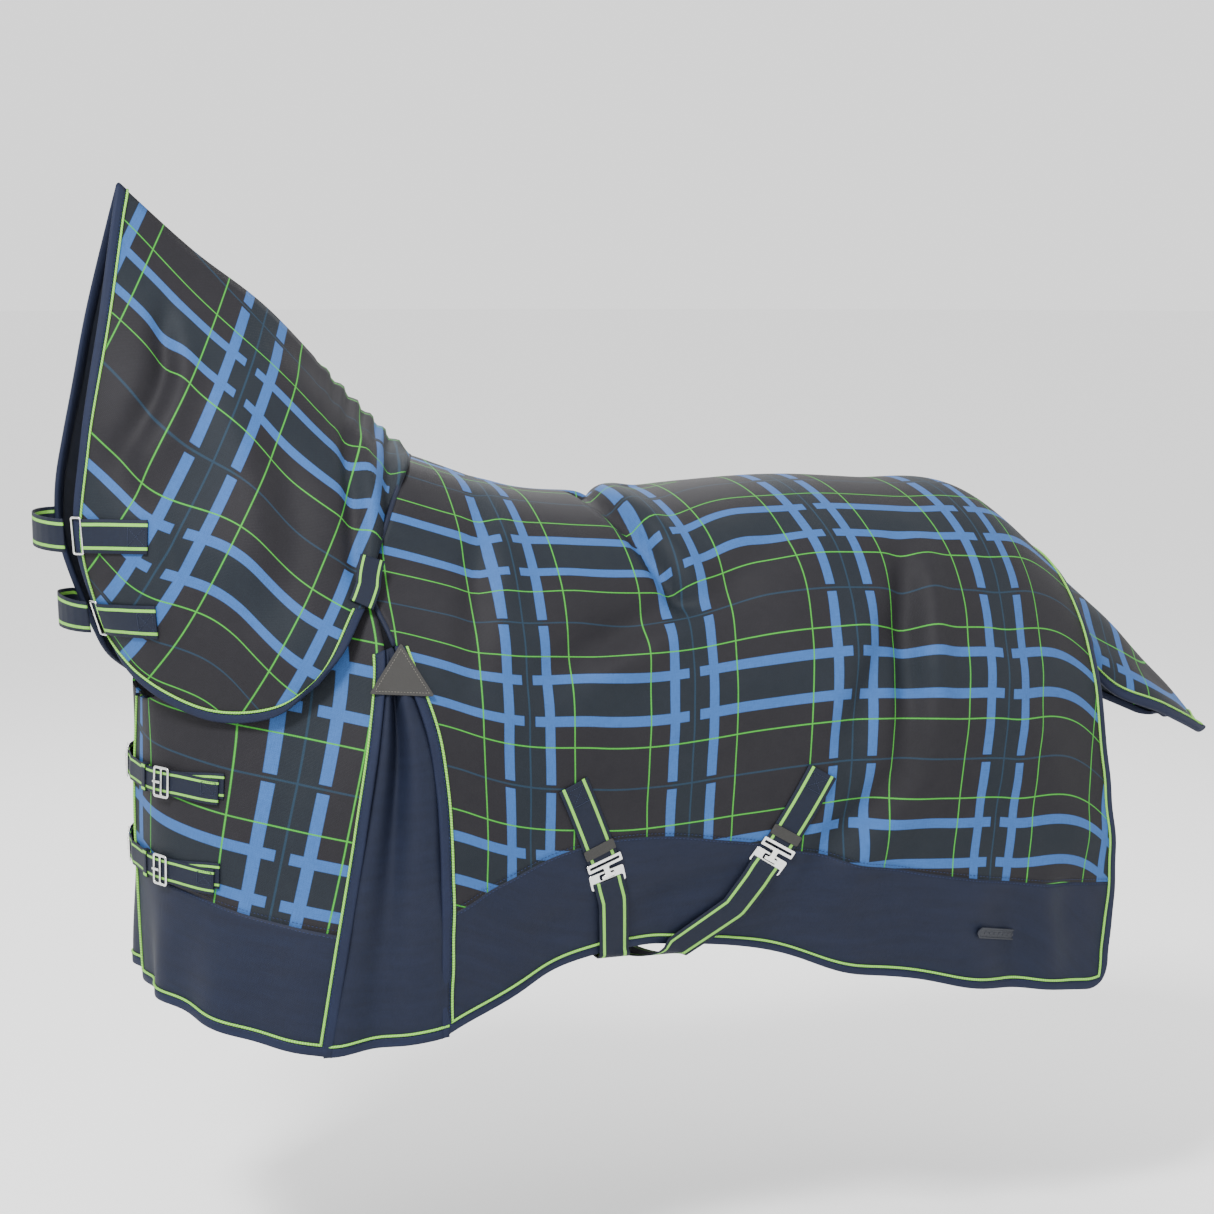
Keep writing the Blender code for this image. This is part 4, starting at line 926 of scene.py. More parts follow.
for side, word in ((NEAR, "left"), (OFF, "right")):
    corners = []
    for surface, (x, z) in zip((plain_chest, body_surface, body_surface), PATCH_CORNERS):
        (place,), _ = lay(surface, still, *locate(surface, x, z), side, PATCH_LIFT)
        corners.append(Vector(place))
    low_front, low_rear, top = corners
    along = (low_rear - low_front).normalized()
    out = along.cross(top - low_front).normalized() * -side
    up = out.cross(along)
    place = Matrix.Translation(low_front) @ Matrix((along, up, out)).transposed().to_4x4()
    outline = np.array([((each - low_front).dot(along), (each - low_front).dot(up)) for each in corners])
    fit(cut(f"patch_{word}", rounded_outline(outline, 0.003), [], 0.0016, place, grey_leather, 0.0006),
        "rug", "leather", f"gusset_patch_{word}")
    middle = outline.mean(axis=0)
    inner = middle + (outline - middle) * 0.82
    path = np.array([place @ Vector((*point, 0.0017)) for point in np.concatenate([inner, inner[:1]])])
    path = np.concatenate([np.linspace(a, b, 12) for a, b in zip(path, path[1:])])
    fit(stitches(f"patch_stitching_{word}", path, np.tile(out, (len(path), 1)), 0.0045, 0.0030,
                 finish=grey_thread), "rug", "leather")

# ---------------------------------------------------------------- chest panels
# Two checked panels with plain navy bands close at the centre of the chest. The near one laps
# over the off one, which lies a little deeper.

CHEST_OVERLAP, CHEST_STEP, CHEST_STEP_FADE = 0.025, 0.0085, 0.35


def chest_surface(u, v):
    """Chest: u from the centre line to the gusset, v down. Below 0 it runs on round the far side."""
    u, v = np.broadcast_arrays(np.asarray(u, float), np.asarray(v, float))
    place = plain_chest(np.abs(u), v)
    place[..., 1] *= np.where(u < 0, -1, 1)
    return place


def inner_chest_surface(u, v):
    """The right chest panel, which passes behind the left one at the centre."""
    place = chest_surface(u, v)
    place[..., 0] += CHEST_STEP * (1 - smooth(np.abs(u) / CHEST_STEP_FADE))
    return place


chest_start = -CHEST_OVERLAP / (2 * HALF_WIDTH)
chest_shapes = {
    "left": lambda u, v: chest_surface(chest_start + (1 - chest_start) * np.asarray(u), v),
    "right": lambda u, v: inner_chest_surface(chest_start + (1 - chest_start) * np.asarray(u), v),
}


def chest_ruck(place, u, v, side):
    """Soft upright waves that grow towards the hem, and long slight ones above."""
    away = smooth(u / 0.2)
    flutes = 0.006 * smooth((v - 0.62) / 0.38) * np.sin(2 * math.pi * (u / 0.29 + 0.1 * v) + 0.8)
    long = waves(place[..., 0] + place[..., 1], place[..., 2], 41 if side < 0 else 42, 0.22, 0.0012)
    return away * (flutes + long)


for side, word in ((NEAR, "left"), (OFF, "right")):
    shape = chest_shapes[word]
    u = np.linspace(EDGE_IN / 0.6, 1 - EDGE_IN / 0.6, 70)
    low_edge = rise_from_hem(shape, u, EDGE_IN)
    band_edge = rise_from_hem(shape, u, BAND)
    for kind, first, last, rows in (("chest", 0 * u, band_edge, 50), ("chest_band", band_edge, low_edge, 22)):
        v = first[:, None] + (last - first)[:, None] * np.linspace(0, 1, rows)
        wide = np.broadcast_to(u[:, None], v.shape)
        (low, high), _ = lay(shape, chest_ruck, wide, v, side, OUTER_LOW, OUTER_FACE)
        middle = shape(wide, v)
        across = chest_start + (1 - chest_start) * wide
        pair = 0.765 - 0.13 * (-middle[..., 2] - 0.30)
        level = -middle[..., 2] - 0.08 * (across - 0.46) - 0.2815
        chart = np.stack([(across - pair) * 0.355, level * 0.94], -1)
        finish, slot, node = ((checked_cloth, "checked_cloth", "chest_panel") if kind == "chest"
                              else (navy_cloth, "navy_cloth", "chest_band"))
        panel = fit(sheet(f"{kind}_cloth_{word}", low, high, chart, finish), "rug", slot, f"{node}_{word}")
    trim(f"chest_edge_{word}", shape, chest_ruck, side, (56, 60, 66), 0.0, CHEST_APEX_SHARE, "rug",
         nodes=(f"chest_binding_{word}",))
    for number, shift in enumerate((-0.008, 0.006)):
        (line,), normals = lay(shape, chest_ruck, u[1:-1], band_edge[1:-1] + shift, side, OUTER_FACE + 0.0002)
        fit(stitches(f"chest_band_seam_{word}_{number}", line, normals), "rug", "navy_cloth")

# ---------------------------------------------------------------- neck cover
# A checked cover runs up the crest to the poll, one cut over both sides, lined and bound. Its
# round lower flap lies over the shoulder.

plain_neck = coons(
    lambda u: through([(-0.444, 0, 0.417), (-0.335, 0, 0.318), (-0.222, 0, 0.230), (-0.105, 0, 0.105),
                       (0, 0, 0)], u),
    lambda u: through([(-0.486, 0.072, -0.240), (-0.440, 0.115, -0.312), (-0.362, 0.180, -0.358),
                       (-0.278, 0.242, -0.350), (-0.216, 0.276, -0.300)], u),
    lambda v: through([(-0.444, 0, 0.417), (-0.483, 0.060, 0.225), (-0.516, 0.085, 0.050),
                       (-0.529, 0.088, -0.090), (-0.486, 0.072, -0.240)], v),
    lambda v: np.where((np.asarray(v) < 0.5)[..., None], through(SHOULDER, 2 * TAB_SHARE * np.asarray(v)),
                       through(np.vstack([SHOULDER[:4], [(-0.152, 0.262, -0.212), (-0.180, 0.276, -0.257),
                                                         (-0.216, 0.276, -0.300)]]), v)))


def neck_surface(u, v):
    """Neck cover: u from poll to shoulder, v from crest to lower edge, full over the crest."""
    u, v = np.broadcast_arrays(np.asarray(u, float), np.asarray(v, float))
    place = plain_neck(u, v)
    place[..., 1] += (0.030 * np.sin(math.pi * u) * np.sin(math.pi * v)
                      + 0.010 * smooth(v / 0.4) * smooth(u / 0.3))
    return place


neck_shape = rounded(neck_surface, 0, 1, 0.060)
neck_bend = ("rug", "neck_cover", (0, 0, 0), (-0.2, 0, 0.15))
NECK_FOLDS = [
    ([(-0.388, 0.235), (-0.392, 0.197), (-0.398, 0.142), (-0.437, 0.066), (-0.478, 0.005)],
     0.017, 1.3, -0.0110),
    ([(-0.365, 0.200), (-0.372, 0.140), (-0.405, 0.065), (-0.440, 0.010)], 0.022, 1.3, 0.0055),
    ([(-0.128, 0.045), (-0.131, 0.020), (-0.140, -0.042), (-0.147, -0.105), (-0.150, -0.160)],
     0.014, 1.2, -0.0085),
    ([(-0.100, 0.050), (-0.108, -0.020), (-0.120, -0.100), (-0.135, -0.160)], 0.014, 1.2, 0.0060),
    ([(-0.040, 0.030), (-0.066, -0.020), (-0.085, -0.070), (-0.105, -0.130)], 0.013, 1.2, -0.0075),
    ([(-0.018, 0.020), (-0.045, -0.020), (-0.068, -0.060)], 0.012, 1.2, 0.0050),
    ([(-0.470, 0.040), (-0.455, -0.030), (-0.430, -0.100), (-0.400, -0.160)], 0.022, 1.4, -0.0060),
    ([(-0.330, 0.110), (-0.300, 0.040), (-0.290, -0.060), (-0.310, -0.150)], 0.030, 1.4, 0.0055),
    ([(-0.250, 0.060), (-0.235, -0.030), (-0.245, -0.130), (-0.290, -0.230)], 0.028, 1.4, -0.0060),
]


def neck_ruck(place, u, v, side):
    """The listed folds, small scallops where the crest is gathered near the withers, and soft waves."""
    x, z = place[..., 0], place[..., 2]
    far = np.asarray(side) > 0
    total = np.zeros(x.shape)
    for line, width, wide_end, height in NECK_FOLDS:
        total = total + height * crease(x, z, line, width, wide_end)
    crest = 0.0035 * np.exp(-(v / 0.12)**2) * np.sin(2 * math.pi * u / 0.052) * smooth((u - 0.62) / 0.1)
    crest = crest * smooth((0.98 - u) / 0.05)
    soft = np.where(far, waves(x, z, 52, 0.24, 0.0032), waves(x, z, 51, 0.24, 0.0032))
    held = 1 - smooth((-0.40 - x) / 0.03) * smooth((0.0 - z) / 0.08)
    return held * (1.9 * total + smooth(v / 0.15) * soft) + crest


def neck_grid(columns, rows):
    """u and v of a grid over one side of the neck cover, down to its cut edge."""
    u = np.linspace(EDGE_IN / 0.5, 1 - EDGE_IN / 0.5, columns)
    v = np.linspace(0, 1, rows)[None, :] * rise_from_hem(neck_shape, u, EDGE_IN)[:, None]
    return np.broadcast_to(u[:, None], v.shape), v


u, v = neck_grid(84, 66)
place = neck_surface(u, v)
down = arc_lengths(neck_surface, u, v)
chart = np.stack([0.875 * place[..., 0] - 0.485 * place[..., 2] + 0.306,
                  down - 0.09 * smooth(u / 0.8)
                  - 0.06 * smooth((down - 0.2) / 0.2) * (1 - smooth((u - 0.2) / 0.4)) - 0.113], -1)
chart = np.concatenate([chart[:, :0:-1], chart], axis=1)
u, v, side = both_sides(u, v)
(low, high), _ = lay(neck_shape, neck_ruck, u, v, side, OUTER_LOW, OUTER_FACE)
neck_cloth = fit(sheet("neck_cloth", low, high, chart, checked_cloth), neck_bend, "checked_cloth",
                 "neck_panel_left", "neck_panel_right")
(low, high), _ = lay(neck_shape, neck_ruck, u, v, side, 0.0, LINING_THICK)
neck_lining = fit(sheet("neck_inner_lining", low, high, chart, lining_cloth), neck_bend, "lining_cloth",
                  "neck_lining_left", "neck_lining_right")


def ribbon(name, centre, normal, width, thickness=0.002):
    """Webbing with its middle along the points of centre and its back towards the cloth.

    Its section is a flat band with round edges. The chart spreads any width over 50 mm.
    """
    along = np.gradient(centre, axis=0)
    across = unit(np.cross(normal, along))
    half = width / 2
    section = np.array([(-half, 0.35), (-half + 0.0006, 0.0), (0.0, 0.0), (half - 0.0006, 0.0), (half, 0.35),
                        (half, 0.65), (half - 0.0006, 1.0), (half / 2, 1.04), (0.0, 1.05), (-half / 2, 1.04),
                        (-half + 0.0006, 1.0), (-half, 0.65)])
    rings = (centre[:, None] + across[:, None] * section[None, :, :1]
             + normal[:, None] * (section[None, :, 1:] * thickness))
    reach = reaches(centre)
    chart = np.stack(np.broadcast_arrays(reach[:, None], section[None, :, 0] * 0.050 / width), -1)
    return sweep(name, rings, chart, webbing)


def webbing_colours(nodes, chart):
    """Near-black navy webbing in herringbone, its twill ridges painted light and its grooves painted shade,
    with a lime stripe 7 mm in from each edge.
    """
    ends = nodes.add("ShaderNodeSeparateXYZ", {0: chart}).outputs
    aside = nodes.math("ABSOLUTE", ends[1])
    zigzag = nodes.math("PINGPONG", ends[1], 0.0045)
    slant = nodes.math("MULTIPLY", nodes.math("ADD", ends[0], zigzag), math.pi / 0.0018)
    twill_light_and_shade = nodes.math("ABSOLUTE", nodes.math("SINE", slant))
    stripe = nodes.band(nodes.math("ABSOLUTE", nodes.math("SUBTRACT", aside, 0.0172)), 0.0023, 0.0004)
    # painted highlight on the twill ridges and painted shade in its grooves, for the ground and the stripe
    ground = nodes.mix(twill_light_and_shade, paint("#080b14"), paint("#151c2d"))
    lime = nodes.mix(twill_light_and_shade, paint("#518c30"), paint("#86c452"))
    return nodes.mix(stripe, ground, lime)


webbing = woven("webbing", webbing_colours, 800.0, 0.62, 0.0004, 0.02)
pale_thread = woven("pale_thread", one_colour("#1d2435", "#2f3850"), 1500.0, 0.50, 0.0001, 0.05)

TAB_WIDTH, TAB_LIFT = 0.038, OUTER_FACE + 0.0030
for side, word in ((NEAR, "left"), (OFF, "right")):
    trim(f"neck_edge_{word}", neck_shape, neck_ruck, side, (90, 60, 26), 0.0, 0.60, neck_bend,
         (f"neck_binding_{word}",))
    v = np.linspace(0.44, 0.58, 24)
    (line,), normals = lay(neck_shape, neck_ruck, 0.975, v, side, TAB_LIFT)
    fit(ribbon(f"neck_tab_webbing_{word}", line, normals, TAB_WIDTH), neck_bend, "webbing",
        f"neck_tab_{word}")

# ---------------------------------------------------------------- tail flap
# One piece of checked cloth, folded over the dock, sewn on at the croup and bound round its
# free edges.

flap_bend = ("rug", "tail_flap", (BACK_LENGTH, 0, -0.19), (1.20, 0, -0.19))


def flap_surface(u, v):
    """u from croup to tip, v from its crest to its lower edge, an arch over the tail."""
    u, v = np.broadcast_arrays(np.asarray(u, float), np.asarray(v, float))
    crest = np.array([(0, 0, 0), (0.085, 0, -0.062), (0.190, 0, -0.160), (0.333, 0, -0.312)])
    edge = np.array([(0.012, 0.150, -0.150), (0.080, 0.165, -0.225), (0.190, 0.150, -0.270),
                     (0.318, 0.085, -0.330)])
    front = [(0, 0, 0), (0.002, 0.090, -0.030), (0.006, 0.138, -0.085), edge[0]]
    rear = [crest[-1], (crest[-1] + edge[-1]) / 2 + [0, 0.012, 0.012], edge[-1]]
    patch = coons(lambda a: through(crest, a), lambda a: through(edge, a),
                  lambda b: through(front, b), lambda b: through(rear, b))
    return patch(u, v) + body_surface(1.0, 0.0) + [0.0008, 0, 0]


flap_shape = rounded(flap_surface, 1, 1, 0.040)


def flap_ruck(place, u, v, side):
    """Two soft folds that fan out from the croup."""
    fan = smooth(u / 0.3) * (0.006 * np.sin(7.5 * v + 1.0) - 0.003) * smooth(v / 0.2)
    return fan + waves(place[..., 0], place[..., 2], 61, 0.15, 0.0010) - 0.0006


u, v = np.meshgrid(np.linspace(0.0, 1 - EDGE_IN / 0.45, 50), np.linspace(0, 1 - EDGE_IN / 0.25, 40),
                   indexing="ij")
place = flap_surface(u, v)
chart = np.stack([place[..., 0] + 0.04 * v - 1.21,
                  -place[..., 2] - 0.45 * (place[..., 0] - 1.138) - 0.385], -1)
chart = np.concatenate([chart[:, :0:-1], chart], axis=1)
u, v, side = both_sides(u, v)
(low, high), _ = lay(flap_shape, flap_ruck, u, v, side, 0.0, CLOTH_THICK)
flap = fit(sheet("tail_flap_cloth", low, high, chart, checked_cloth), flap_bend, "checked_cloth", "tail_flap")
for side, word in ((NEAR, "left"), (OFF, "right")):
    trim(f"tail_flap_edge_{word}", flap_shape, lambda *given: flap_ruck(*given) - OUTER_LOW, side,
         (2, 56, 20), None, 0.0, flap_bend)

# ---------------------------------------------------------------- badge
# A plain moulded rubber bar with cut corners, welded to the near side's band near the rear. A
# raised rim runs round it, with a row of plain ribs inside.

BADGE_X, BADGE_Z = 0.888, -0.759
BADGE_LONG, BADGE_TALL, BADGE_RIM = 0.130, 0.018, 0.0025
RIBS, RIB_PITCH, RIB_LONG, RIB_TALL = 9, 0.0115, 0.007, 0.0044


class Run:
    """The line that a strap follows: points and outward normals, read by distance along it."""

    def __init__(self, points, normals):
        self.points = points
        self.normals = normals
        self.reach = reaches(points)

    def at(self, distance, lift=0.0):
        """Points and normals at the distances, lifted off the cloth."""
        distance = np.atleast_1d(distance)
        point = np.stack([np.interp(distance, self.reach, self.points[:, k]) for k in range(3)], -1)
        normal = np.stack([np.interp(distance, self.reach, self.normals[:, k]) for k in range(3)], -1)
        normal = unit(normal)
        return point + normal * np.atleast_1d(lift)[:, None], normal

    def frame(self, distance, lift):
        """Matrix at a distance: X on along the strap, Y across it, Z out of its face."""
        step = 0.004
        (before, here, after), normals = self.at([distance - step, distance, distance + step], lift)
        x = Vector(after - before).normalized()
        z = Vector(normals[1])
        z = (z - x * z.dot(x)).normalized()
        return Matrix.Translation(Vector(here)) @ Matrix((x, z.cross(x), z)).transposed().to_4x4()


def run_on(surface, ruck, side, places, steps=24):
    """Points and normals over the cloth through places given as (u, v)."""
    u, v = np.array(places).T
    line = np.linspace(0, len(places) - 1, steps * (len(places) - 1) + 1)
    index = np.arange(len(places))
    (points,), normals = lay(surface, ruck, np.interp(line, index, u), np.interp(line, index, v), side, 0.0)
    return points, normals


black_rubber = grain("black_rubber", "#0e121b", "#1b202d", 0.50, 2200.0)
u, v = locate(body_surface, BADGE_X, BADGE_Z)
run = Run(*run_on(body_surface, body_ruck, NEAR, [(u - 0.07, v - 0.003), (u + 0.07, v + 0.011)]))
middle = 0.5 * run.reach[-1]
place = run.frame(middle, OUTER_FACE + 0.0012)


def cut_corner_bar(long, tall):
    """A bar about the origin with its corners cut off, each by a third of its height."""
    x, y, corner = long / 2, tall / 2, tall / 3
    return [(corner - x, -y), (x - corner, -y), (x, corner - y), (x, y - corner), (x - corner, y),
            (corner - x, y), (-x, y - corner), (-x, corner - y)]


fit(cut("badge_bar", cut_corner_bar(BADGE_LONG, BADGE_TALL), [], 0.0018, place, black_rubber, 0.0004), "rug",
    "rubber", "hem_badge")
over = place @ Matrix.Translation((0, 0, 0.0016))
inside = cut_corner_bar(BADGE_LONG - 2 * BADGE_RIM, BADGE_TALL - 2 * BADGE_RIM)
fit(cut("badge_rim", cut_corner_bar(BADGE_LONG, BADGE_TALL), [inside], 0.0012, over, black_rubber, 0.0003),
    "rug", "rubber")
for number in range(RIBS):
    x = (number - RIBS // 2) * RIB_PITCH
    fit(cut(f"badge_rib_{number}", box_outline(x - RIB_LONG / 2, x + RIB_LONG / 2, RIB_TALL, 0.001, 3), [],
            0.0008, over, black_rubber, 0.0002), "rug", "rubber")

# ---------------------------------------------------------------- chest straps
# Two webbing straps close the chest. A base strap is sewn to the near panel, a tongue is buckled
# over it, and a T hook on the tongue goes through a slotted plate on the off side's strap.

WEB, CHEST_WEB, WEB_THICK, GAP = 0.050, 0.038, 0.002, 0.0005
PLATE_THICK, KEEPER_WALL, KEEPER_LENGTH, PRONG_WIDTH = 0.002, 0.0015, 0.014, 0.004
STRAP_LIFT = OUTER_FACE + 2 * GAP + KEEPER_WALL
SEWN_LIFT = OUTER_FACE + 0.0012
HOOK_LONG, PLATE_RIM = 0.030, 0.004
BUCKLE_LONG, BUCKLE_WIDE, BUCKLE_END, BUCKLE_SIDE, BUCKLE_BAR = 0.036, 0.047, 0.0038, 0.004, 0.0032


def metal():
    """Bright nickel plate, with faint polishing marks and slightly dulled patches."""
    made = bpy.data.materials.new("nickel_plate")
    made.use_nodes = True
    nodes = Nodes(made.node_tree)
    where = nodes.add("ShaderNodeTexCoord").outputs["Object"]
    scratch = nodes.noise(nodes.squeezed(where, (250.0, 250.0, 2600.0)), 1.0, 3.0)
    patch = nodes.noise(where, 160.0, 3.0)
    rough = nodes.math("MULTIPLY_ADD", patch, 0.16, nodes.math("MULTIPLY_ADD", scratch, 0.12, 0.06))
    shader = nodes.surface(nodes.mix(patch, paint("#c9cac8"), paint("#f1f1ee")), rough, scratch, 0.15, 0.0001)
    shader.inputs["Metallic"].default_value = 1.0
    return made


nickel = metal()


def level_run(surface, ruck, side, height, u):
    """Points and normals at one height, for each u."""
    line = np.linspace(0, 1, 161)
    v = np.array([np.interp(-height, -surface(each, line)[:, 2], line) for each in u])
    (points,), normals = lay(surface, ruck, u, v, side, 0.0)
    return points, normals


def box_stitching(name, run, middle, width, lift, body):
    """A sewn box with a cross in it, over the end of a strap."""
    half, tall = 0.013, width / 2 - 0.005
    place = run.frame(middle, lift)
    corners = [(-half, -tall), (half, -tall), (half, tall), (-half, tall), (-half, -tall), (half, tall),
               (half, -tall), (-half, tall)]
    path = np.array([place @ Vector((x, y, 0.0002)) for x, y in corners])
    path = np.concatenate([np.linspace(a, b, 14) for a, b in zip(path, path[1:])])
    out = np.tile(np.array(place.col[2][:3]), (len(path), 1))
    fit(stitches(name, path, out, 0.0036, 0.0026, 0.0004, pale_thread), body, "webbing")


def hook_and_plate(word, run, start, web, lift, hook_body, plate_body):
    """T hook on the end of one strap, over the slotted plate on the start of the next."""
    half = web / 2 + PLATE_RIM
    stem, head = 0.0045, 0.011
    outline = rounded_outline([(-0.002, -half), (0.012, -half), (0.012, -stem), (HOOK_LONG - 0.006, -stem),
                               (HOOK_LONG - 0.006, -head), (HOOK_LONG, -head), (HOOK_LONG, head),
                               (HOOK_LONG - 0.006, head), (HOOK_LONG - 0.006, stem), (0.012, stem),
                               (0.012, half), (-0.002, half)], 0.0022, 4)
    hook = cut(f"{word}_t_hook", outline, [box_outline(0.003, 0.007, web, 0.0012)], PLATE_THICK,
               run.frame(start, lift), nickel, 0.0008)
    fit(hook, hook_body, "steel", hook_body)
    under = run.frame(start + HOOK_LONG, lift - PLATE_THICK - GAP)
    slotted = cut(f"{word}_slotted_plate", box_outline(-0.012, 0.014, 2 * half, 0.004),
                  [box_outline(-0.008, 0.001, 2 * head + 0.002, 0.002),
                   box_outline(0.005, 0.010, web, 0.0015)], PLATE_THICK, under, nickel, 0.0008)
    fit(slotted, plate_body, "steel", hook_body.replace("hook", "slot_plate"))
    return under


for word, height in (("upper", -0.460), ("lower", -0.592)):
    left, left_normals = level_run(chest_surface, still, NEAR, height, np.linspace(0.60, 0.0, 121))
    right, right_normals = level_run(chest_surface, still, OFF, height, np.linspace(0.0, 0.50, 101)[1:])
    run = Run(np.vstack([left, right]), np.vstack([left_normals, right_normals]))
    middle = run.reach[120]
    tongue = STRAP_LIFT + WEB_THICK + GAP
    top = tongue + WEB_THICK + GAP
    buckle, keeper, tip = middle - 0.125, middle - 0.075, middle + 0.040
    sewn = np.linspace(middle - 0.235, buckle + 0.004, 50)
    settle = smooth(1 - (sewn - sewn[0]) / 0.05)
    points, normals = run.at(sewn, STRAP_LIFT + (SEWN_LIFT - STRAP_LIFT) * settle)
    points[:, 2] += 0.0045 * smooth((buckle - 0.02 - sewn) / 0.08)
    fit(ribbon(f"chest_base_webbing_{word}", points, normals, CHEST_WEB), "rug", "webbing",
        f"chest_strap_base_{word}")
    on = np.linspace(middle - 0.228, tip, 80)
    settle = smooth(1 - (on - on[0]) / 0.05)
    points, normals = run.at(on, tongue + (SEWN_LIFT + 2 * WEB_THICK - tongue) * settle)
    points[:, 2] -= 0.0045 * smooth((buckle - 0.02 - on) / 0.08)
    fit(ribbon(f"chest_tongue_webbing_{word}", points, normals, CHEST_WEB), "rug", "webbing",
        f"chest_tongue_{word}")
    box_stitching(f"chest_stitching_{word}", run, middle - 0.212, CHEST_WEB - 0.009, tongue + 0.0020, "rug")
    place = run.frame(buckle, top)
    outline = box_outline(-BUCKLE_LONG / 2, BUCKLE_LONG / 2, BUCKLE_WIDE, 0.006, 6)
    bar, end = BUCKLE_BAR / 2, BUCKLE_LONG / 2 - BUCKLE_END
    windows = [box_outline(low, high, BUCKLE_WIDE - 2 * BUCKLE_SIDE, 0.003, 6)
               for low, high in ((-end, -bar), (bar, end))]
    fit(cut(f"buckle_{word}", outline, windows, 0.0030, place, nickel, 0.0012), "rug", "steel",
        f"chest_buckle_{word}")
    outline = rounded_outline([(0.0, -PRONG_WIDTH / 2), (0.0175, -0.0016), (0.0175, 0.0016),
                               (0.0, PRONG_WIDTH / 2)], 0.0010, 3)
    fit(cut(f"buckle_prong_{word}", outline, [], PLATE_THICK, place @ Matrix.Translation((0, 0, 0.0034)),
            nickel, 0.0008), f"chest_prong_{word}", "steel", f"chest_prong_{word}")
    low, high = STRAP_LIFT - GAP - KEEPER_WALL, top + 0.0008
    inside = high - low - KEEPER_WALL
    wide = CHEST_WEB + 0.0016
    loop = run.frame(keeper, (low + high + KEEPER_WALL) / 2) @ Matrix.Rotation(math.pi / 2, 4, "Y")
    keeper_piece = cut(f"keeper_{word}", box_outline(-inside / 2 - KEEPER_WALL, inside / 2 + KEEPER_WALL,
                                                     wide + 2 * KEEPER_WALL, 0.0022),
                       [box_outline(-inside / 2, inside / 2, wide, 0.0012)], KEEPER_LENGTH,
                       loop @ Matrix.Translation((0, 0, -KEEPER_LENGTH / 2)), webbing, 0.0004)
    fit(keeper_piece, f"chest_keeper_{word}", "webbing", f"chest_keeper_{word}")
    hook_and_plate(f"chest_{word}", run, tip, CHEST_WEB, top, f"chest_hook_{word}", "rug")
    far = np.linspace(tip + HOOK_LONG + 0.010, middle + 0.190, 60)
    fade = smooth((far - middle) / (run.reach[-1] - middle) * 0.5 / CHEST_STEP_FADE)
    plate_lift = tongue - WEB_THICK - GAP
    cloth_lift = OUTER_FACE + 0.0014 - CHEST_STEP * (1 - fade)
    settle = smooth((far - far[0] - 0.012) / 0.045)
    points, normals = run.at(far, plate_lift + (cloth_lift - plate_lift) * settle)
    fit(ribbon(f"chest_off_webbing_{word}", points, normals, CHEST_WEB), "rug", "webbing",
        f"chest_strap_right_{word}")

# ---------------------------------------------------------------- throat straps
# Two webbing straps pass round the front of the throat. Each hangs from a wire ring on an anchor
# sewn to the near flap, and is sewn down on the off side.

THROAT_BULGE, RING_LONG, RING_WIDE, RING_CLEAR, WIRE = 0.040, 0.016, 0.0536, 0.0140, 0.0018
for word, height in (("upper", -0.090), ("lower", -0.212)):
    near, near_normals = level_run(neck_surface, still, NEAR, height, np.linspace(0.34, 0.0, 18))
    off, off_normals = level_run(neck_surface, still, OFF, height, np.linspace(0.0, 0.34, 18))
    bend = np.linspace(0, math.pi, 13)[1:-1]
    middle = (near[-1] + off[0]) / 2
    half = off[0][1]
    across = np.stack([middle[0] - THROAT_BULGE * np.sin(bend), -half * np.cos(bend),
                       np.full_like(bend, middle[2])], 1)
    across_normals = unit(np.stack([-np.sin(bend) / THROAT_BULGE, -np.cos(bend) / half, 0 * bend], 1))
    across_normals[:, 2] = near_normals[-1][2] * np.cos(bend)**2
    run = Run(np.vstack([near, across, off]), np.vstack([near_normals, across_normals, off_normals]))
    edge = run.reach[17]
    lift = OUTER_FACE + 2 * GAP
    start = edge - RING_LONG
    points, normals = run.at(np.linspace(edge - 0.120, start - WIRE - GAP, 40), lift)
    raised = 0.0022 * smooth((np.linspace(0, 1, 40) - 0.55) / 0.3)
    fit(ribbon(f"throat_anchor_{word}", points + normals * (0.0006 + raised)[:, None], normals, WEB),
        "neck_cover", "webbing", f"neck_anchor_{word}")
    box_stitching(f"throat_stitching_{word}", run, edge - 0.103, WEB - 0.014, lift + 0.0028, "neck_cover")
    place = run.frame(edge - RING_LONG / 2, lift + WIRE)
    outline = box_outline(-RING_LONG / 2, RING_LONG / 2, RING_WIDE, 0.003, 6)
    path = np.array([place @ Vector((*point, 0)) for point in outline])
    follow = unit(np.roll(path, -1, axis=0) - np.roll(path, 1, axis=0))
    out = np.array(place.col[2][:3])
    aside = np.cross(follow, out)
    rings = (path[:, None] + aside[:, None] * (WIRE * np.cos(ROUND_TURN))[:, None]
             + out * (WIRE * np.sin(ROUND_TURN))[:, None])
    chart = np.stack(np.broadcast_arrays(np.arange(len(path))[:, None] * 0.002, ROUND_TURN[None] * WIRE), -1)
    fit(sweep(f"throat_ring_{word}", rings, chart, nickel, closed=True), f"neck_ring_{word}", "steel",
        f"neck_ring_{word}")
    points, normals = run.at(np.linspace(edge + RING_CLEAR, run.reach[-1] - 0.02, 90), lift + 0.0004)
    fit(ribbon(f"throat_webbing_{word}", points, normals, WEB), "neck_cover", "webbing", f"neck_strap_{word}")

# ---------------------------------------------------------------- crossed belly straps
# Each starts at a billet sewn to the near side and a T hook. The webbing below runs under the
# belly, crosses the other, and is sewn to the off side's band, with a slider to set its length.

HEM_CLEAR, BELLY_TURN, BILLET_LONG, RIGHT_RUN = 0.0060, 0.070, 0.130, 0.200


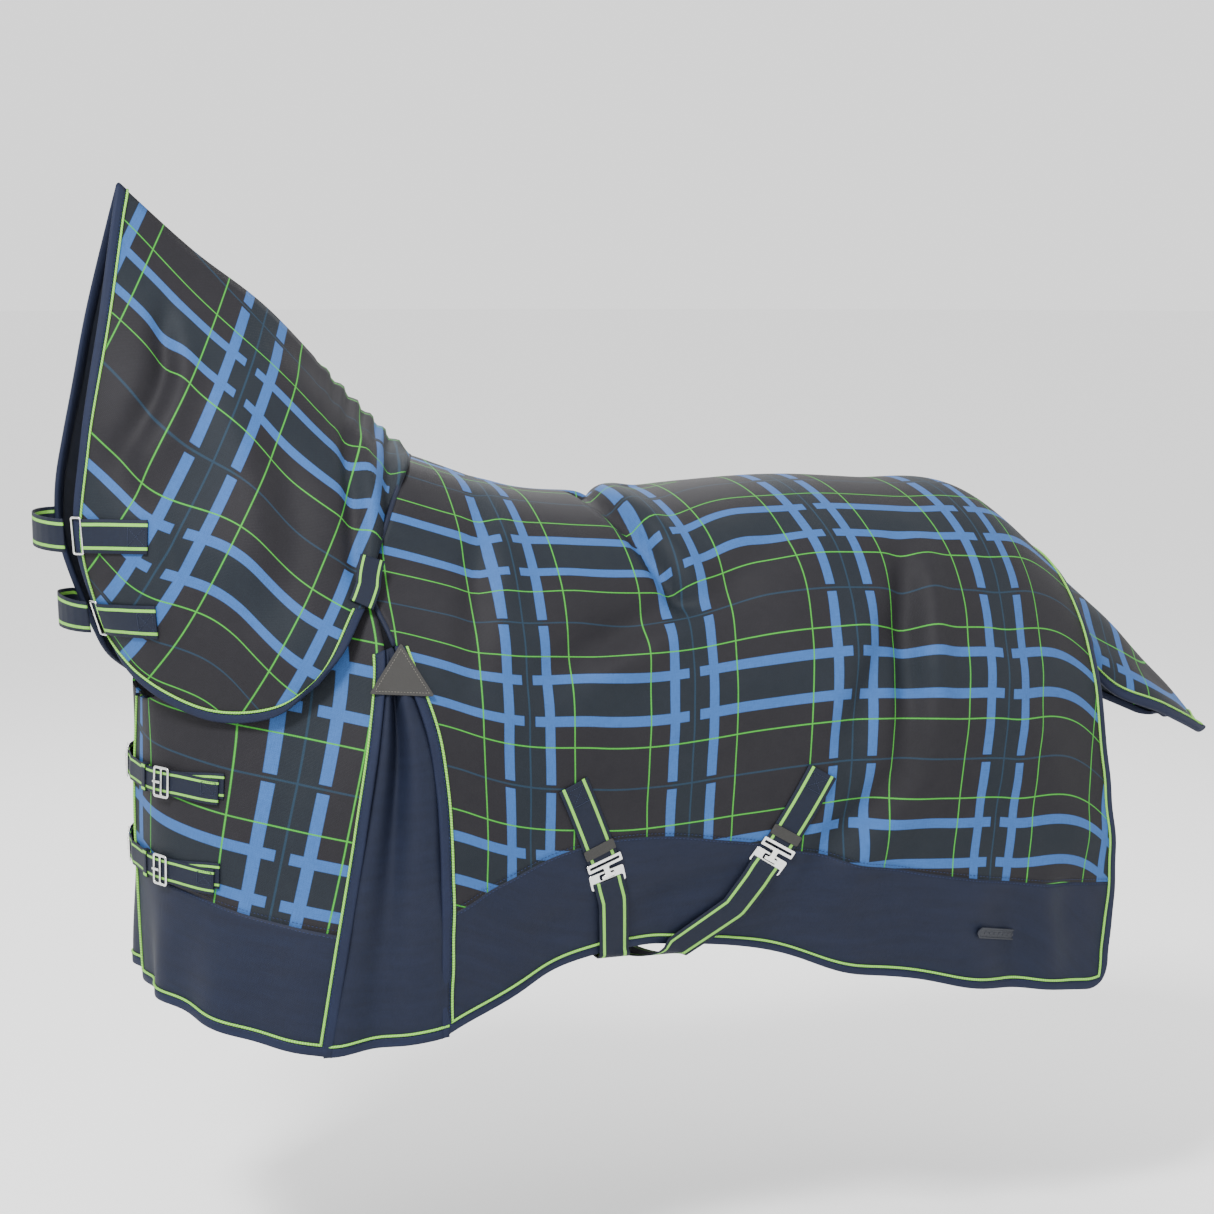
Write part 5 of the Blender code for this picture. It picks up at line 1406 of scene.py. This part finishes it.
def belly_crossing(near, far, sag):
    """Half an ellipse under the belly, which leaves and meets the two runs in their own directions."""
    start, end = near[-1], far[0]
    bend = np.linspace(0, math.pi, 61)[1:-1]
    half = (end[1] - start[1]) / 2
    across = half * (1 - np.cos(bend))
    down = sag * np.sin(bend)
    gone = np.hypot(across, down)
    left = np.hypot(2 * half - across, down)
    lead, follow = unit(near[-1] - near[-2]), unit(far[1] - far[0])
    under = start + (end - start) * (across / (2 * half))[:, None]
    under[:, 0] += lead[0] * gone * np.exp(-gone / BELLY_TURN) - follow[0] * left * np.exp(-left / BELLY_TURN)
    under[:, 2] -= down
    normals = np.stack([0 * bend, -np.cos(bend) / half, -np.sin(bend) / sag], 1)
    return under, unit(normals)


tab_leather = grain("tab_leather", "#0f0f0d", "#201f1b", 0.45, 1100.0)
for word, sag in (("front", 0.030), ("rear", 0.038)):
    other = {"front": "rear", "rear": "front"}[word]
    places = [locate(body_surface, x, z) for x, z in SURCINGLE_LINES[word]]
    left, left_normals = run_on(body_surface, body_ruck, NEAR, places[:-1] + [(places[-1][0], 1.0)], 6)
    places = [locate(body_surface, x, z) for x, z in SURCINGLE_LINES[other]]
    right, right_normals = run_on(body_surface, body_ruck, OFF, places[:-1] + [(places[-1][0], 1.0)], 6)
    billet_lift = OUTER_FACE + 2 * GAP
    hook_lift = billet_lift + PLATE_THICK + GAP
    web_lift = OUTER_FACE + HEM_CLEAR
    run = Run(left, left_normals)
    points, normals = run.at(np.linspace(0.0, BILLET_LONG, 60), billet_lift + 0.0004)
    fit(ribbon(f"belly_billet_{word}", points, normals, WEB), "rug", "webbing", f"surcingle_billet_{word}")
    box_stitching(f"belly_stitching_{word}", run, 0.020, WEB - 0.012, billet_lift + 0.0026, "rug")
    tab_place = run.frame(BILLET_LONG - 0.018, billet_lift + 0.0026)
    fit(cut(f"belly_tab_{word}", box_outline(-0.0085, 0.0085, WEB + 0.001, 0.003), [], 0.0018, tab_place,
            tab_leather, 0.0006), "rug", "leather")
    slotted = hook_and_plate(f"belly_{word}", run, BILLET_LONG, WEB, hook_lift,
                             f"surcingle_hook_{word}", "rug")
    near, near_normals = run.at(np.linspace(BILLET_LONG + HOOK_LONG + 0.035, run.reach[-1], 30), web_lift)
    on_plate = [slotted @ Vector((x, 0, PLATE_THICK + GAP)) for x in (0.004, 0.017)]
    near = np.vstack([on_plate, near])
    near_normals = np.vstack([[slotted.col[2][:3]] * 2, near_normals])
    off = Run(right, right_normals)
    far, far_normals = off.at(np.linspace(off.reach[-1], off.reach[-1] - RIGHT_RUN, 40), web_lift)
    under, under_normals = belly_crossing(near, far, sag)
    web = Run(np.vstack([near, under, far]), np.vstack([near_normals, under_normals, far_normals]))
    points, normals = web.at(np.linspace(0, web.reach[-1], 220))
    fit(ribbon(f"belly_webbing_{word}", points, normals, WEB), "rug", "webbing", f"surcingle_web_{word}")
    place = off.frame(off.reach[-1] - RIGHT_RUN + 0.055, web_lift + WEB_THICK + GAP)
    fit(cut(f"belly_slider_{word}", box_outline(-0.015, 0.015, WEB + 2 * PLATE_RIM, 0.004),
            [box_outline(-0.011, -0.002, WEB, 0.002), box_outline(0.002, 0.011, WEB, 0.002)],
            PLATE_THICK, place, nickel, 0.0008), "rug", "steel", f"surcingle_slider_{word}")
